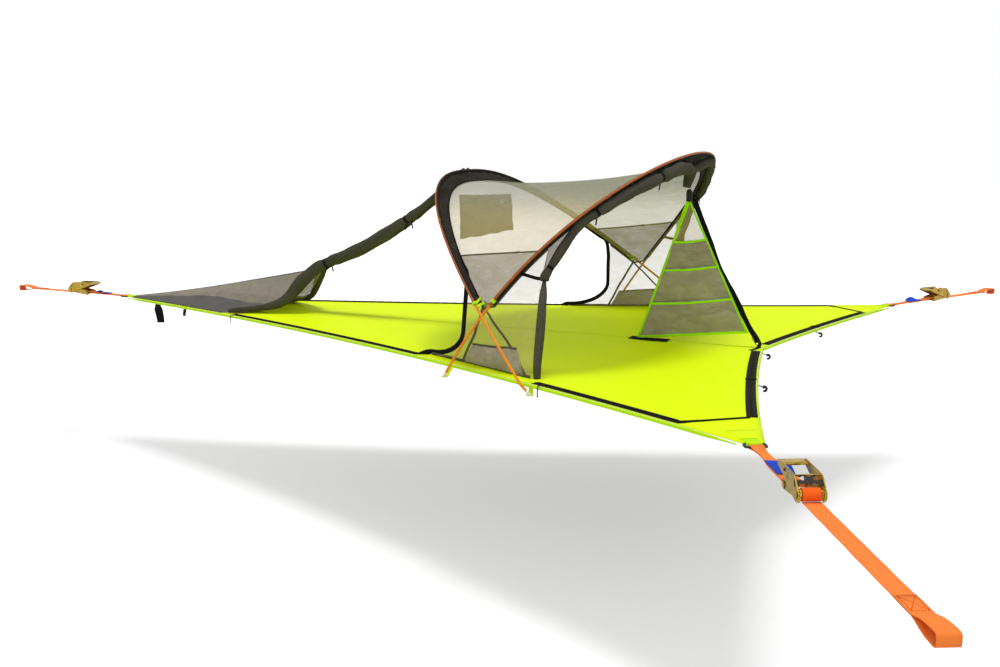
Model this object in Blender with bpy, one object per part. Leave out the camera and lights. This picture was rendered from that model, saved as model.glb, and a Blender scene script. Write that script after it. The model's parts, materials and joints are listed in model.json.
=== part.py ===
"""Tree tent for two: a taut triangular floor slung from three trees, below a mesh cabin on two crossed poles.

Metres, +Z up. +X runs from the front tree to the base of the triangle, +Y to the far side. The origin is
where the front strap's sewn eye bears on what holds it. Plan sizes are measured from the tip of the floor.
"""

import math

import bmesh
import bpy
from mathutils import Matrix, Vector

# Floor: a triangle with its corners cut square and its edges drawn in
corner_x = 3.970
corner_y = 1.531
corner_angle = math.radians(61.4)
corner_width = 0.070
base_middle_x = 3.650
long_edge_sag = 0.140
base_edge_sag = 0.022
fabric_thickness = 0.001
seam_gap = 0.0009
touch_gap = 0.0004

# Webbing sewn round the floor
edge_width = 0.012
edge_thickness = 0.002
edge_tilt = math.radians(75)
tab_width = 0.020

# Poles: superellipse arches that lean apart and cross at each side
pole_radius = 0.0055
ferrule_radius = 0.0065
sleeve_gap = 0.0035
ferrule_length = 0.016
pole_sections = 7
pole_tip_radius = 0.0075
pole_tip_length = 0.016
pole_foot_drop = 0.034
front_arch_foot_x = 3.005
front_arch_height = 0.749
front_arch_half_width = 1.112
front_arch_lean_share = -1.065
front_arch_sweep_share = 0.0
front_arch_shape_shares = (1.0, 2.55)
rear_arch_foot_x = 2.620
rear_arch_height = 0.839
rear_arch_lean_share = 0.600
rear_arch_sweep_share = 0.277
rear_arch_shape_shares = (3.3, 2.0)

# Fabric hung from the arches
valance_start_height = 0.290
valance_leg_width = 0.040
front_valance_apex_width = 0.062
rear_valance_apex_width = 0.074
canopy_start_height = 0.262
canopy_sag = 0.036
wall_slack = 0.008

# Side walls and the doors beside them
wall_inset = 0.058
wall_front_x = 2.430
wall_rear_x = 3.000
wall_lean_share = 0.056
wall_ear_height = 0.500
wall_front_top_shares = (1.38, 1.25, 1.12, 1.0)
door_corner_length = 0.200
door_corner_height = 0.130
door_sill = 0.005
zip_wall_width = 0.012
door_curve_steps = 7
zip_inset = 0.022
zip_width = 0.028
front_zip_start_x = 0.985
front_zip_end_x = 2.370
rear_zip_start_x = 3.044
pocket_edge_x = 3.700
pocket_base_y = 1.225
base_band_width = 0.038
base_band_inset = 0.023
base_band_end_y = 0.085

# Net over the foot end and the front doors rolled along its ridge
net_ridge_x = 1.351
net_ridge_height = 0.248
net_edge_x = 0.930
net_inset = 0.012
net_sag = 0.020
net_start_x = 0.040
front_roll_radius = 0.024
front_roll_foot_radius = 0.013
front_roll_sag = 0.052
front_roll_droop = 0.055
front_roll_droop_shares = ((0.5, 1.0), (0.8, 0.15))
roll_fold_share = 0.08

# Rear doors: gathered upright beside the wall, then rolled below the rear arch
gather_radius = 0.011
gather_offset = 0.022
tie_height = 0.363
rear_roll_radius = 0.017
bunch_radius = 0.030
bunch_drop = 0.150
rear_roll_gap = 0.004
rear_roll_inset = 0.030
rear_roll_height_shares = (0.70, 0.78, 0.85, 0.91, 0.955, 0.98)
bunch_shares = ((0.50, 0.07, 2.2), (0.70, 0.13, 1.0), (1.0, 0.20, 1.0))

# Things on the middle line
spine_width = 0.016
spine_thickness = 0.002
spine_top_ahead = 0.025803
spine_top_drop = 0.171
spine_top_x = rear_arch_foot_x + rear_arch_height * (rear_arch_lean_share + rear_arch_sweep_share) - spine_top_ahead
spine_top_height = rear_arch_height - spine_top_drop
spine_foot_x = 3.642
spine_foot_height = 0.0013
spine_shares = ((1.0, 1.0), (0.95, 0.90), (0.75, 0.68), (0.60, 0.505),
                (0.34, 0.30), (0.18, 0.15), (0.04, 0.055), (0.0, 0.0))
organiser_apex_front = 0.028
organiser_apex_drop = 0.022
organiser_foot_x = 3.079
organiser_rear_x = 3.585
organiser_rear_height = 0.062
organiser_row_shares = (0.03, 0.15, 0.30, 0.36, 0.42, 0.50, 0.57, 0.64, 0.74, 0.83, 0.92, 1.0)
organiser_pocket_shares = (0.30, 0.50, 0.74, 1.0)
pocket_bulge = 0.008
buckle_width = 0.026
buckle_length = 0.052
buckle_thickness = 0.009
hanging_row = 11
hanging_drop = 0.190
hanging_clearance = 0.0016
hanging_start_share = 0.04
hanging_end_share = 0.30
fly_tab_x = 0.290
fly_tab_width = 0.050
fly_tab_length = 0.100

# Sliders of the four door zips
slider_length = 0.014
slider_width = 0.009
slider_height = 0.005
pull_width = 0.005
pull_thickness = 0.002
pull_drop = 0.040
rear_slider_x = 3.096

# Straps and what they pass round
webbing_width = 0.050
webbing_thickness = 0.002
sling_waist_width = 0.030
ring_bar_radius = 0.004
ring_side_gap = 0.004
ring_depth = 0.030
ring_offset = 0.011
corner_loop_length = 0.030
front_strap_reach = 0.770
near_strap_reach = 1.210
far_strap_reach = 0.920
eye_length = 0.110
eye_height = 0.030
eye_overlap = 0.090

# Ratchet: bolt and spool in a frame, handle and two sprung pawls
front_bolt_reach = 0.315
rear_bolt_reach = 0.410
bolt_radius = 0.006
bolt_head_radius = 0.009
bolt_head_height = 0.004
ratchet_length = 0.125
plate_thickness = 0.003
plate_bolt_radius = 0.013
plate_spool_radius = 0.0145
web_thickness = 0.0025
spindle_radius = 0.0085
spindle_clearance = 0.0004
spindle_slot = 0.003
wheel_thickness = 0.004
wheel_teeth = 12
wheel_tip_radius = 0.021
wheel_root_radius = 0.0165
side_clearance = 0.0005
spool_cap_radius = 0.011
spool_cap_thickness = 0.002
wound_turns = 2.75
wound_step_shares = (0.90, 0.97)
handle_hub_radius = 0.019
handle_length = 0.168
handle_rise = 0.040
grip_length = 0.030
pawl_thickness = 0.0025
pawl_length = 0.016
pawl_tip_radius = 0.0189
pawl_recess_radius = 0.028
pawl_travel = 0.004
drive_pawl_lift = 0.0025
pawl_slot_clearance = 0.0004
pawl_overhang = 0.0015
finger_width = 0.024
finger_length = 0.010
drive_pawl_angle = math.radians(120)
lock_pawl_angle = math.radians(180)

sling_waist_share = 0.25
sling_spread_share = 0.20
tooth_shares = ((-0.22, 0.0), (0.13, 0.0), (0.19, 1.0), (0.33, 1.0))
handle_knee_reach = 0.030
handle_knee_rise = 0.030
handle_knee_radius = 0.016
spring_bar_shares = (1.6, 1.2)
bolt_height = 0.004

# Positions that follow from the sizes above
tip_x = front_strap_reach + eye_length
plate_inner = webbing_width / 2 + 3 * side_clearance
plate_outer = plate_inner + plate_thickness
wheel_inner = plate_outer + side_clearance
wheel_outer = wheel_inner + wheel_thickness
arm_inner = wheel_outer + side_clearance
arm_outer = arm_inner + plate_thickness
cap_inner = arm_outer + side_clearance
cap_outer = cap_inner + spool_cap_thickness
wound_start = spindle_radius + touch_gap + webbing_thickness / 2
wound_radius = wound_start + (1 + wound_turns - wound_step_shares[1]) * (webbing_thickness + side_clearance)
spool_height = wound_radius

# Colours and finish: red, green, blue, roughness, metallic
LIME = (0.62, 0.90, 0.03, 0.75, 0.0)
LIME_WEB = (0.36, 0.80, 0.04, 0.80, 0.0)
BLACK_WEB = (0.012, 0.011, 0.010, 0.85, 0.0)
MESH = (0.60, 0.56, 0.44, 0.90, 0.0)
DARK_MESH = (0.075, 0.075, 0.062, 0.90, 0.0)
ORANGE_WEB = (0.85, 0.13, 0.03, 0.75, 0.0)
GOLD_STEEL = (0.46, 0.31, 0.07, 0.35, 1.0)
BLACK_STEEL = (0.02, 0.02, 0.02, 0.40, 1.0)
POLE_METAL = (0.60, 0.22, 0.03, 0.30, 1.0)
BLACK_PLASTIC = (0.015, 0.015, 0.015, 0.45, 0.0)


def clear_scene():
    for obj in list(bpy.data.objects):
        bpy.data.objects.remove(obj, do_unlink=True)


def material(name, look):
    mat = bpy.data.materials.new(name)
    mat.use_nodes = True
    shader = mat.node_tree.nodes["Principled BSDF"]
    shader.inputs["Base Color"].default_value = (look[0], look[1], look[2], 1.0)
    shader.inputs["Roughness"].default_value = look[3]
    shader.inputs["Metallic"].default_value = look[4]
    return mat


def add(name, data, look, parent=None):
    """Put a mesh or curve in the scene as one named piece with its own material."""
    obj = bpy.data.objects.new(name, data)
    bpy.context.scene.collection.objects.link(obj)
    if look is None:
        obj.hide_render = True
        obj.display_type = "WIRE"
    else:
        data.materials.append(material(name, look))
    obj.parent = parent
    return obj


def empty(name, location, turn=0.0, parent=None):
    obj = bpy.data.objects.new(name, None)
    bpy.context.scene.collection.objects.link(obj)
    obj.location = location
    obj.rotation_euler = (0.0, 0.0, turn)
    obj.parent = parent
    return obj


def mesh_of(name, points, faces):
    """A mesh from points and faces, with its faces turned outwards."""
    data = bpy.data.meshes.new(name)
    data.from_pydata([tuple(p) for p in points], [], faces)
    shape = bmesh.new()
    shape.from_mesh(data)
    bmesh.ops.recalc_face_normals(shape, faces=shape.faces)
    shape.to_mesh(data)
    shape.free()
    return data


def mix(a, b, share):
    return a + (b - a) * share


def smooth(share):
    share = min(max(share, 0.0), 1.0)
    return share * share * (3 - 2 * share)


def even_points(points, count):
    """The same line with its points an even distance apart."""
    lengths = [0.0]
    for a, b in zip(points, points[1:]):
        lengths.append(lengths[-1] + (b - a).length)
    result = []
    index = 0
    for step in range(count):
        goal = lengths[-1] * step / (count - 1)
        while index < len(points) - 2 and lengths[index + 1] < goal:
            index += 1
        span = lengths[index + 1] - lengths[index]
        result.append(points[index].lerp(points[index + 1], (goal - lengths[index]) / span))
    return result


def smooth_line(points, count):
    """A smooth line of evenly spaced points through a few chosen ones."""
    ends = [points[0] * 2 - points[1]] + list(points) + [points[-1] * 2 - points[-2]]
    fine = []
    for before, a, b, after in zip(ends, ends[1:], ends[2:], ends[3:]):
        for step in range(12):
            t = step / 12
            fine.append(0.5 * ((2 * a) + (b - before) * t + (2 * before - 5 * a + 4 * b - after) * t ** 2
                               + (3 * a - before - 3 * b + after) * t ** 3))
    fine.append(points[-1].copy())
    return even_points(fine, count)


def tangents(points):
    count = len(points)
    return [(points[min(i + 1, count - 1)] - points[max(i - 1, 0)]).normalized() for i in range(count)]


def mirrored(points, side):
    """The same points on the near side (-1) or the far side (+1)."""
    return [Vector((p[0], -p[1] * side, p[2])) for p in points]


def sheet(name, rows, thickness, look, parent=None, closed=False):
    """A piece of cloth or strap from rows of points, given its thickness by a Solidify modifier."""
    width = len(rows[0])
    points = [p for row in rows for p in row]
    faces = []
    for r in range(len(rows) if closed else len(rows) - 1):
        low = r * width
        high = ((r + 1) % len(rows)) * width
        for c in range(width - 1):
            faces.append((low + c, low + c + 1, high + c + 1, high + c))
    obj = add(name, mesh_of(name, points, faces), look, parent)
    solid = obj.modifiers.new("thickness", "SOLIDIFY")
    solid.thickness = thickness
    solid.offset = 0.0
    solid.use_even_offset = True
    return obj


def strip(name, path, widths, across, thickness, look, parent=None, closed=False):
    """A flat strap along a path; across gives the direction of its width at each point."""
    rows = [[p - d * (w / 2), p + d * (w / 2)] for p, w, d in zip(path, widths, across)]
    return sheet(name, rows, thickness, look, parent, closed)


def tube(name, path, radii, look, parent=None, resolution=2):
    """A round piece along a path, as a bevelled curve with filled ends."""
    data = bpy.data.curves.new(name, "CURVE")
    data.dimensions = "3D"
    data.bevel_depth = max(radii)
    data.bevel_resolution = resolution
    data.use_fill_caps = True
    data.twist_mode = "MINIMUM"
    spline = data.splines.new("POLY")
    spline.points.add(len(path) - 1)
    for point, place, radius in zip(spline.points, path, radii):
        point.co = (place[0], place[1], place[2], 1.0)
        point.radius = radius / max(radii)
    return add(name, data, look, parent)


def prism(name, outline, low, high, look, parent=None, plane="UW"):
    """An outline extruded across: UW outlines run from low to high in V, VW ones along U."""
    place = {"UW": lambda a, b, c: (a, c, b), "UV": lambda a, b, c: (a, b, c)}[plane]
    count = len(outline)
    points = [place(a, b, low) for a, b in outline] + [place(a, b, high) for a, b in outline]
    faces = [tuple(range(count)), tuple(range(count, 2 * count))]
    for i in range(count):
        j = (i + 1) % count
        faces.append((i, j, count + j, count + i))
    return add(name, mesh_of(name, points, faces), look, parent)


def round_bar(name, radius, low, high, look, parent=None, sides=16):
    """A round bar along V, centred on its parent's axis."""
    outline = [(radius * math.cos(a), radius * math.sin(a)) for a in steps(0.0, math.tau, sides)]
    return prism(name, outline, low, high, look, parent)


def steps(start, end, count):
    """Evenly spaced angles from start up to, but without, end."""
    return [start + (end - start) * i / count for i in range(count)]


def arc(centre, radius, start, end, count):
    """Points of an arc, both ends included."""
    result = []
    for i in range(count + 1):
        angle = mix(start, end, i / count)
        result.append((centre[0] + radius * math.cos(angle), centre[1] + radius * math.sin(angle)))
    return result


def boolean(obj, cutter, operation):
    modifier = obj.modifiers.new(cutter.name, "BOOLEAN")
    modifier.operation = operation
    modifier.object = cutter
    modifier.solver = "EXACT"


# Floor outline

def corner_ends(side):
    """Ends of a rear corner's cut: on the long edge and on the base edge."""
    lateral = Vector((math.sin(corner_angle), -side * math.cos(corner_angle)))
    centre = Vector((corner_x, side * corner_y))
    return centre - lateral * (corner_width / 2), centre + lateral * (corner_width / 2)


class EdgeArc:
    """One drawn-in edge of the floor: a circular arc whose centre lies outside the floor."""

    def __init__(self, start, end, sag, inside):
        self.start, self.end = start, end
        chord = end - start
        self.radius = chord.length ** 2 / (8 * sag) + sag / 2
        normal = Vector((-chord.y, chord.x)).normalized()
        if (inside - start).dot(normal) < 0:
            normal = -normal
        middle = (start + end) / 2
        self.centre = middle + normal * (sag - self.radius)

    def point(self, share, inset=0.0):
        a = self.start - self.centre
        b = self.end - self.centre
        turn = math.atan2(a.x * b.y - a.y * b.x, a.dot(b)) * share
        way = Matrix.Rotation(turn, 2) @ a
        return self.centre + way.normalized() * (self.radius + inset)

    def outward(self, place):
        return (self.centre - place).normalized()

    def at_x(self, x, inset=0.0):
        """The point of the inset arc at a given x."""
        low, high = -0.2, 1.2
        for _ in range(60):
            middle = (low + high) / 2
            if self.point(middle, inset).x < x:
                low = middle
            else:
                high = middle
        return self.point(low, inset)


def on_floor(place, height):
    return Vector((tip_x + place.x, place.y, height))


floor_inside = Vector((corner_x * 0.6, 0.0))
LONG = {}
BASE = {}
for side in (-1, 1):
    long_end, base_end = corner_ends(side)
    LONG[side] = EdgeArc(Vector((0.0, side * corner_width / 2)), long_end, long_edge_sag, floor_inside)
    BASE[side] = EdgeArc(Vector((base_middle_x, 0.0)), base_end, base_edge_sag, floor_inside)

SIDE_NAME = {-1: "near", 1: "far"}
CORNERS = {
    "front": (Vector((0.0, 0.0)), math.pi, front_bolt_reach, front_strap_reach),
    "near": (Vector((corner_x, -corner_y)), -corner_angle, rear_bolt_reach, near_strap_reach),
    "far": (Vector((corner_x, corner_y)), corner_angle, rear_bolt_reach, far_strap_reach),
}


# Arches

class Arch:
    """A pole's line: a superellipse across the tent on a surface that leans along it."""

    def __init__(self, foot_x, height, half_width, lean, sweep, shape_shares):
        self.foot_x, self.height, self.half_width = foot_x, height, half_width
        self.lean, self.sweep = lean, sweep
        self.power, self.root = shape_shares

    def x(self, z):
        t = z / self.height
        return self.foot_x + self.height * (self.lean * t + self.sweep * t * t)

    def half(self, z):
        t = min(max(z / self.height, 0.0), 1.0)
        return self.half_width * (1 - t ** self.power) ** (1 / self.root)

    def line(self, low, count):
        """Evenly spaced points from the near side at height low, over the apex, to the far side."""
        near = []
        for i in range(400):
            share = math.sin(math.pi / 2 * i / 400)
            z = mix(low, self.height, share)
            near.append(Vector((tip_x + self.x(z), -self.half(z), z)))
        top = Vector((tip_x + self.x(self.height), 0.0, self.height))
        far = [Vector((p.x, -p.y, p.z)) for p in reversed(near)]
        return even_points(near + [top] + far, count)

    def across(self, z):
        """Direction square to the arch's surface, on its rear side."""
        slope = self.lean + 2 * self.sweep * z / self.height
        return Vector((1.0, 0.0, -slope)).normalized()

    def inward(self, points):
        """Directions in the arch's surface, square to the pole, towards the middle of the cabin."""
        middle = Vector((tip_x + self.foot_x, 0.0, 0.0))
        result = []
        for p, along in zip(points, tangents(points)):
            way = self.across(p.z).cross(along).normalized()
            result.append(way if way.dot(middle - p) > 0 else -way)
        return result


front_arch = Arch(front_arch_foot_x, front_arch_height, front_arch_half_width,
                  front_arch_lean_share, front_arch_sweep_share, front_arch_shape_shares)


def crossing_height():
    """Height at which the two arches cross, seen from the side."""
    low, high = 0.0, front_arch_height
    for _ in range(60):
        middle = (low + high) / 2
        t = middle / rear_arch_height
        rear_x = rear_arch_foot_x
        rear_x += rear_arch_height * (rear_arch_lean_share * t + rear_arch_sweep_share * t * t)
        if rear_x < front_arch.x(middle):
            low = middle
        else:
            high = middle
    return low


def rear_arch_half_width():
    """The rear pole passes just inside the front pole where they cross."""
    z = crossing_height()
    power, root = rear_arch_shape_shares
    share = (1 - (z / rear_arch_height) ** power) ** (1 / root)
    return (front_arch.half(z) - 2 * pole_radius - 2 * touch_gap) / share


rear_arch = Arch(rear_arch_foot_x, rear_arch_height, rear_arch_half_width(),
                 rear_arch_lean_share, rear_arch_sweep_share, rear_arch_shape_shares)


def pole_path(arch, count):
    """Pole line from tip to tip, with the points where its radius changes, and the radii."""
    line = arch.line(-pole_foot_drop, 4 * count + 1)
    lengths = [0.0]
    for a, b in zip(line, line[1:]):
        lengths.append(lengths[-1] + (b - a).length)
    total = lengths[-1]
    marks = {}
    for i in range(count + 1):
        marks[total * i / count] = pole_radius
    for i in range(1, pole_sections):
        middle = total * i / pole_sections
        near_mark = min(marks, key=lambda m: abs(m - middle))
        del marks[near_mark]
        half = ferrule_length / 2
        marks[middle - half - touch_gap] = pole_radius
        marks[middle - half] = ferrule_radius
        marks[middle + half] = ferrule_radius
        marks[middle + half + touch_gap] = pole_radius
    for start, way in ((0.0, 1), (total, -1)):
        marks[start] = pole_tip_radius / 2
        marks[start + way * pole_tip_length / 4] = pole_tip_radius
        marks[start + way * pole_tip_length] = pole_tip_radius
        marks[start + way * (pole_tip_length + touch_gap)] = pole_radius
    path = []
    radii = []
    for mark in sorted(marks):
        index = max(i for i in range(len(lengths) - 1) if lengths[i] <= mark)
        span = lengths[index + 1] - lengths[index]
        path.append(line[index].lerp(line[index + 1], (mark - lengths[index]) / span))
        radii.append(marks[mark])
    return path, radii


def build_poles():
    for name, arch in (("front_pole", front_arch), ("rear_pole", rear_arch)):
        path, radii = pole_path(arch, 64)
        tube(name, path, radii, POLE_METAL, resolution=1)


# Floor and its edges

def build_floor():
    outline = [LONG[-1].point(i / 24) for i in range(25)]
    outline += [BASE[-1].point(1 - i / 12) for i in range(13)]
    outline += [BASE[1].point(i / 12) for i in range(1, 13)]
    outline += [LONG[1].point(1 - i / 24) for i in range(25)]
    flat = [(tip_x + p.x, p.y) for p in outline]
    floor = prism("floor_panel", flat, -fabric_thickness / 2, fabric_thickness / 2, LIME, plane="UV")
    for name, (centre, angle, _, _) in CORNERS.items():
        holder = empty(name + "_corner_loop_place", on_floor(centre, 0.0), angle)
        boolean(floor, corner_loop(name, holder), "UNION")


def corner_loop(name, holder):
    """Webbing that wraps the ring's inner bar and lies along both faces of the floor's corner."""
    leg = fabric_thickness / 2 + webbing_thickness / 2 - touch_gap
    eye = ring_bar_radius + touch_gap + webbing_thickness / 2
    path = [(-corner_loop_length, leg), (-eye, leg)]
    path += arc((ring_offset, 0.0), eye, math.radians(110), math.radians(-110), 8)
    path += [(-eye, -leg), (-corner_loop_length, -leg)]
    line = [Vector((u, 0.0, w)) for u, w in path]
    width = webbing_width - 2 * touch_gap
    return strip(name + "_corner_loop", line, [width] * len(line), [Vector((0, 1, 0))] * len(line),
                 webbing_thickness, None, holder)


def edge_rows(edge, count, start_share, end_share):
    """Rows of a band that starts at the floor's rim and slopes down and out."""
    rows = []
    reach = edge_width * math.cos(edge_tilt)
    drop = edge_width * math.sin(edge_tilt)
    gap = edge_thickness / 2 + touch_gap
    for i in range(count + 1):
        rim = edge.point(mix(start_share, end_share, i / count))
        out = edge.outward(rim)
        inner = rim + out * gap
        outer = inner + out * reach
        rows.append([on_floor(inner, -fabric_thickness / 2), on_floor(outer, -fabric_thickness / 2 - drop)])
    return rows


def pole_tab(name, side, arch):
    """Webbing tab from the edge band to below a pole's tip."""
    foot = arch.line(-pole_foot_drop, 9)[0]
    foot = Vector((foot.x, foot.y * -side, foot.z))
    edge = LONG[side]
    rim = edge.at_x(foot.x - tip_x)
    out = edge.outward(rim)
    drop = edge_width * math.sin(edge_tilt)
    start = on_floor(rim + out * (edge_width * math.cos(edge_tilt) / 2), -drop / 2)
    tilt_share = abs(arch.lean) / math.hypot(1, arch.lean)
    under = foot - Vector((0.0, 0.0, touch_gap + edge_thickness / 2 + pole_tip_radius / 2 * tilt_share))
    end = under + Vector((out.x, out.y, 0.0)) * (pole_tip_radius * 1.2)
    before = under - Vector((out.x, out.y, 0.0)) * (pole_tip_radius * 1.3)
    along = Vector((-out.y, out.x, 0.0))
    return strip(name, [start, before, end], [tab_width] * 3, [along] * 3, edge_thickness * 0.9, None)


def build_edges():
    for side in (-1, 1):
        label = SIDE_NAME[side]
        rows = edge_rows(LONG[side], 24, 0.004, 0.996)
        band = sheet("edge_webbing_" + label, rows, edge_thickness, LIME_WEB)
        for arch, name in ((front_arch, "front"), (rear_arch, "rear")):
            boolean(band, pole_tab(name + "_pole_tab_" + label, side, arch), "UNION")
    rows = list(reversed(edge_rows(BASE[-1], 12, 0.0, 0.99)))[:-1]
    rim = Vector((base_middle_x + edge_thickness / 2 + 2 * touch_gap, 0.0))
    inner = on_floor(rim, -fabric_thickness / 2)
    outer = inner + Vector((edge_width * math.cos(edge_tilt), 0.0, -edge_width * math.sin(edge_tilt)))
    rows += [[inner, outer]] + edge_rows(BASE[1], 12, 0.0, 0.99)[1:]
    sheet("edge_webbing_base", rows, edge_thickness, LIME_WEB)


def build_fly_tabs():
    """Black tabs below the rim near the tip, where a rain cover would hook on."""
    drop = edge_width * math.sin(edge_tilt) + edge_thickness * math.cos(edge_tilt) / 2 + fabric_thickness / 2
    drop += touch_gap
    for side in (-1, 1):
        rim = LONG[side].at_x(fly_tab_x)
        out = LONG[side].outward(rim)
        along = Vector((-out.y, out.x, 0.0))
        top = on_floor(rim + out * (edge_width * math.cos(edge_tilt)), -drop)
        path = [top, top - Vector((0.0, 0.0, fly_tab_length))]
        strip("fly_tab_" + SIDE_NAME[side], path, [fly_tab_width, fly_tab_width * 0.8], [along] * 2,
              webbing_thickness, BLACK_WEB)


# Canopy

def band_edges(arch, apex_width, low, count):
    """Outer and inner edge of the dark band inside an arch, and the directions square to it."""
    outer = arch.line(low, count)
    ways = arch.inward(outer)
    rise = arch.height - low
    first = ferrule_radius + sleeve_gap
    near_edge = [p + w * first for p, w in zip(outer, ways)]
    widths = [mix(valance_leg_width, apex_width, smooth((p.z - low) / rise)) for p in outer]
    far_edge = [p + w * (first + width) for p, w, width in zip(outer, ways, widths)]
    return near_edge, far_edge


def pole_loop(name, arch, side):
    """Webbing loop that ties an end of a dark band to the pole beside it."""
    points = arch.line(valance_start_height, 61)
    place = points[1] if side < 0 else points[-2]
    along = tangents(points)[1 if side < 0 else -2]
    inward = arch.inward(points)[1 if side < 0 else -2]
    square = along.cross(inward)
    radius = pole_radius + touch_gap + fabric_thickness
    path = [place + inward * (ferrule_radius + sleeve_gap + tab_width / 2), place + inward * radius * 1.2]
    for angle in steps(math.radians(30), math.radians(345), 9):
        path.append(place + (inward * math.cos(angle) + square * math.sin(angle)) * radius)
    return strip(name, path, [tab_width / 2] * len(path), [along] * len(path), fabric_thickness * 1.6, None)


def build_valances():
    for name, arch, width in (("front_valance", front_arch, front_valance_apex_width),
                              ("rear_valance", rear_arch, rear_valance_apex_width)):
        outer, inner = band_edges(arch, width, valance_start_height, 37)
        rows = [[a, (a + b) / 2, b] for a, b in zip(outer, inner)]
        band = sheet(name, rows, fabric_thickness, DARK_MESH)
        for side in (-1, 1):
            boolean(band, pole_loop(name + "_loop_" + SIDE_NAME[side], arch, side), "UNION")


def canopy_rows(count, columns):
    """Saddle of mesh between the inner edges of the two bands; both directions pull it inwards."""
    low = canopy_start_height
    front = band_edges(front_arch, front_valance_apex_width, low, count)[1]
    rear = band_edges(rear_arch, rear_valance_apex_width, low, count)[1]
    rows = []
    for a, b in zip(front, rear):
        way = (b - a).normalized()
        first = a + way * (seam_gap + fabric_thickness / 2)
        last = b - way * (seam_gap + fabric_thickness / 2)
        row = []
        for c in range(columns + 1):
            t = c / columns
            p = first.lerp(last, t)
            inwards = Vector((0.0, -p.y, -p.z)).normalized()
            sag = canopy_sag * 4 * t * (1 - t) * smooth((b - a).length / rear_arch_height)
            row.append(p + inwards * sag)
        rows.append(row)
    return rows


def build_canopy():
    rows = canopy_rows(33, 8)
    middle = len(rows) // 2
    near = rows[:middle + 1]
    near[-1] = [p - Vector((0.0, seam_gap / 2, 0.0)) for p in near[-1]]
    sheet("canopy_near", near, fabric_thickness, MESH)
    far = [[Vector((p.x, -p.y, p.z)) for p in row] for row in near]
    sheet("canopy_far", far, fabric_thickness, MESH)


# Side walls, zips and gathered doors

def wall_point(x, z):
    """A near-side point of the wall's own surface, which leans in a little."""
    foot = LONG[-1].at_x(x, wall_inset)
    return Vector((tip_x + x, foot.y + wall_lean_share * z, z))


def wall_base(x):
    return wall_point(x, fabric_thickness / 2 + touch_gap)


def wall_top_line():
    """Near-side top of the wall: up beside the front door, down to the crossing, up below the rear arch."""
    slack = wall_slack
    drop = Vector((0.0, 0.0, -slack))
    points = []
    for share in wall_front_top_shares:
        height = canopy_start_height * share
        edge = arch_inner_point(front_arch, height)
        points.append(edge - front_arch.across(height) * slack + drop)
    for share in (0.0, 0.25, 0.5, 0.75, 1.0):
        height = mix(canopy_start_height, wall_ear_height, share)
        edge = arch_inner_point(rear_arch, height)
        points.append(edge + rear_arch.across(height) * slack + drop)
    return points


def arch_inner_point(arch, height):
    """Point of the band's inner edge on the near side, level with a height of the pole."""
    step = arch.height / 200
    place = [Vector((tip_x + arch.x(z), -arch.half(z), z)) for z in (height - step, height, height + step)]
    way = arch.inward(place)[1]
    return place[1] + way * (ferrule_radius + sleeve_gap + valance_leg_width)


def door_curve_place(turn):
    """Place on the front door's curve, as distance from the tip and height."""
    x = wall_front_x + door_corner_length * math.sin(turn)
    return Vector((x, door_sill + door_corner_height * (1 - math.cos(turn))))


def door_curve(count):
    """Near-side edge of the wall beside the front door, from the floor up to the front arch."""
    points = []
    for i in range(count + 1):
        place = door_curve_place(math.pi / 2 * i / count)
        points.append(wall_point(place.x, place.y))
    return points


def wall_columns():
    """Columns of the near wall, from the floor to the front door's curve, the crossing and the rear arch."""
    corner = door_curve(door_curve_steps)
    tops = wall_top_line()
    upper = corner + [corner[-1].lerp(tops[0], 0.5)] + tops
    columns = []
    for i, top in enumerate(upper):
        foot = wall_base(mix(wall_front_x, wall_rear_x, i / (len(upper) - 1)))
        columns.append([foot.lerp(top, share) for share in (0.0, 0.25, 0.5, 0.75, 1.0)])
    return columns


def build_walls():
    columns = wall_columns()
    for side in (-1, 1):
        placed = [mirrored(column, side) for column in columns]
        sheet("side_wall_" + SIDE_NAME[side], placed, fabric_thickness, MESH)


def tape_height():
    """Height of the middle of a tape that lies on the floor."""
    return fabric_thickness + touch_gap


def inset_point(edge, x, inset):
    return on_floor(edge.at_x(x, inset), tape_height())


def build_front_zips():
    """Front door zips: along the floor's edge, then a twist and up the wall's front edge to the arch."""
    for side in (-1, 1):
        edge = LONG[-1]
        path = []
        across = []
        widths = []
        for i in range(17):
            x = mix(front_zip_start_x, front_zip_end_x, i / 16)
            point = inset_point(edge, x, zip_inset)
            out = edge.outward(Vector((point.x - tip_x, point.y)))
            path.append(point)
            across.append(Vector((out.x, out.y, 0.0)))
            widths.append(zip_width)
        flat = across[-1]
        upright = Vector((0.0, 0.0, 1.0))
        shift = zip_wall_width / 2 + seam_gap
        rise = []
        for i in range(door_curve_steps + 1):
            turn = math.pi / 2 * i / door_curve_steps
            normal = Vector((-door_corner_height * math.sin(turn), door_corner_length * math.cos(turn)))
            normal = normal.normalized()
            place = door_curve_place(turn) + normal * shift
            rise.append((wall_point(place.x, place.y), Vector((normal.x, 0.0, normal.y))))
        first = rise[0][0]
        for share in (0.33, 0.67):
            path.append(path[16].lerp(first, share) + upright * (zip_wall_width / 2 * share * (1 - share)))
            across.append(flat.lerp(upright, share).normalized())
            widths.append(mix(zip_width, zip_wall_width, share))
        for place, way in rise:
            path.append(place)
            across.append(way)
            widths.append(zip_wall_width)
        top = wall_top_line()[0] - Vector((shift, 0.0, 0.0))
        for share in (0.45, 0.9):
            path.append(rise[-1][0].lerp(top, share))
            across.append(Vector((-1.0, 0.0, 0.0)))
            widths.append(zip_wall_width)
        strip("front_door_zip_" + SIDE_NAME[side], mirrored(path, side), widths, mirrored(across, side),
              fabric_thickness, BLACK_WEB)


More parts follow.
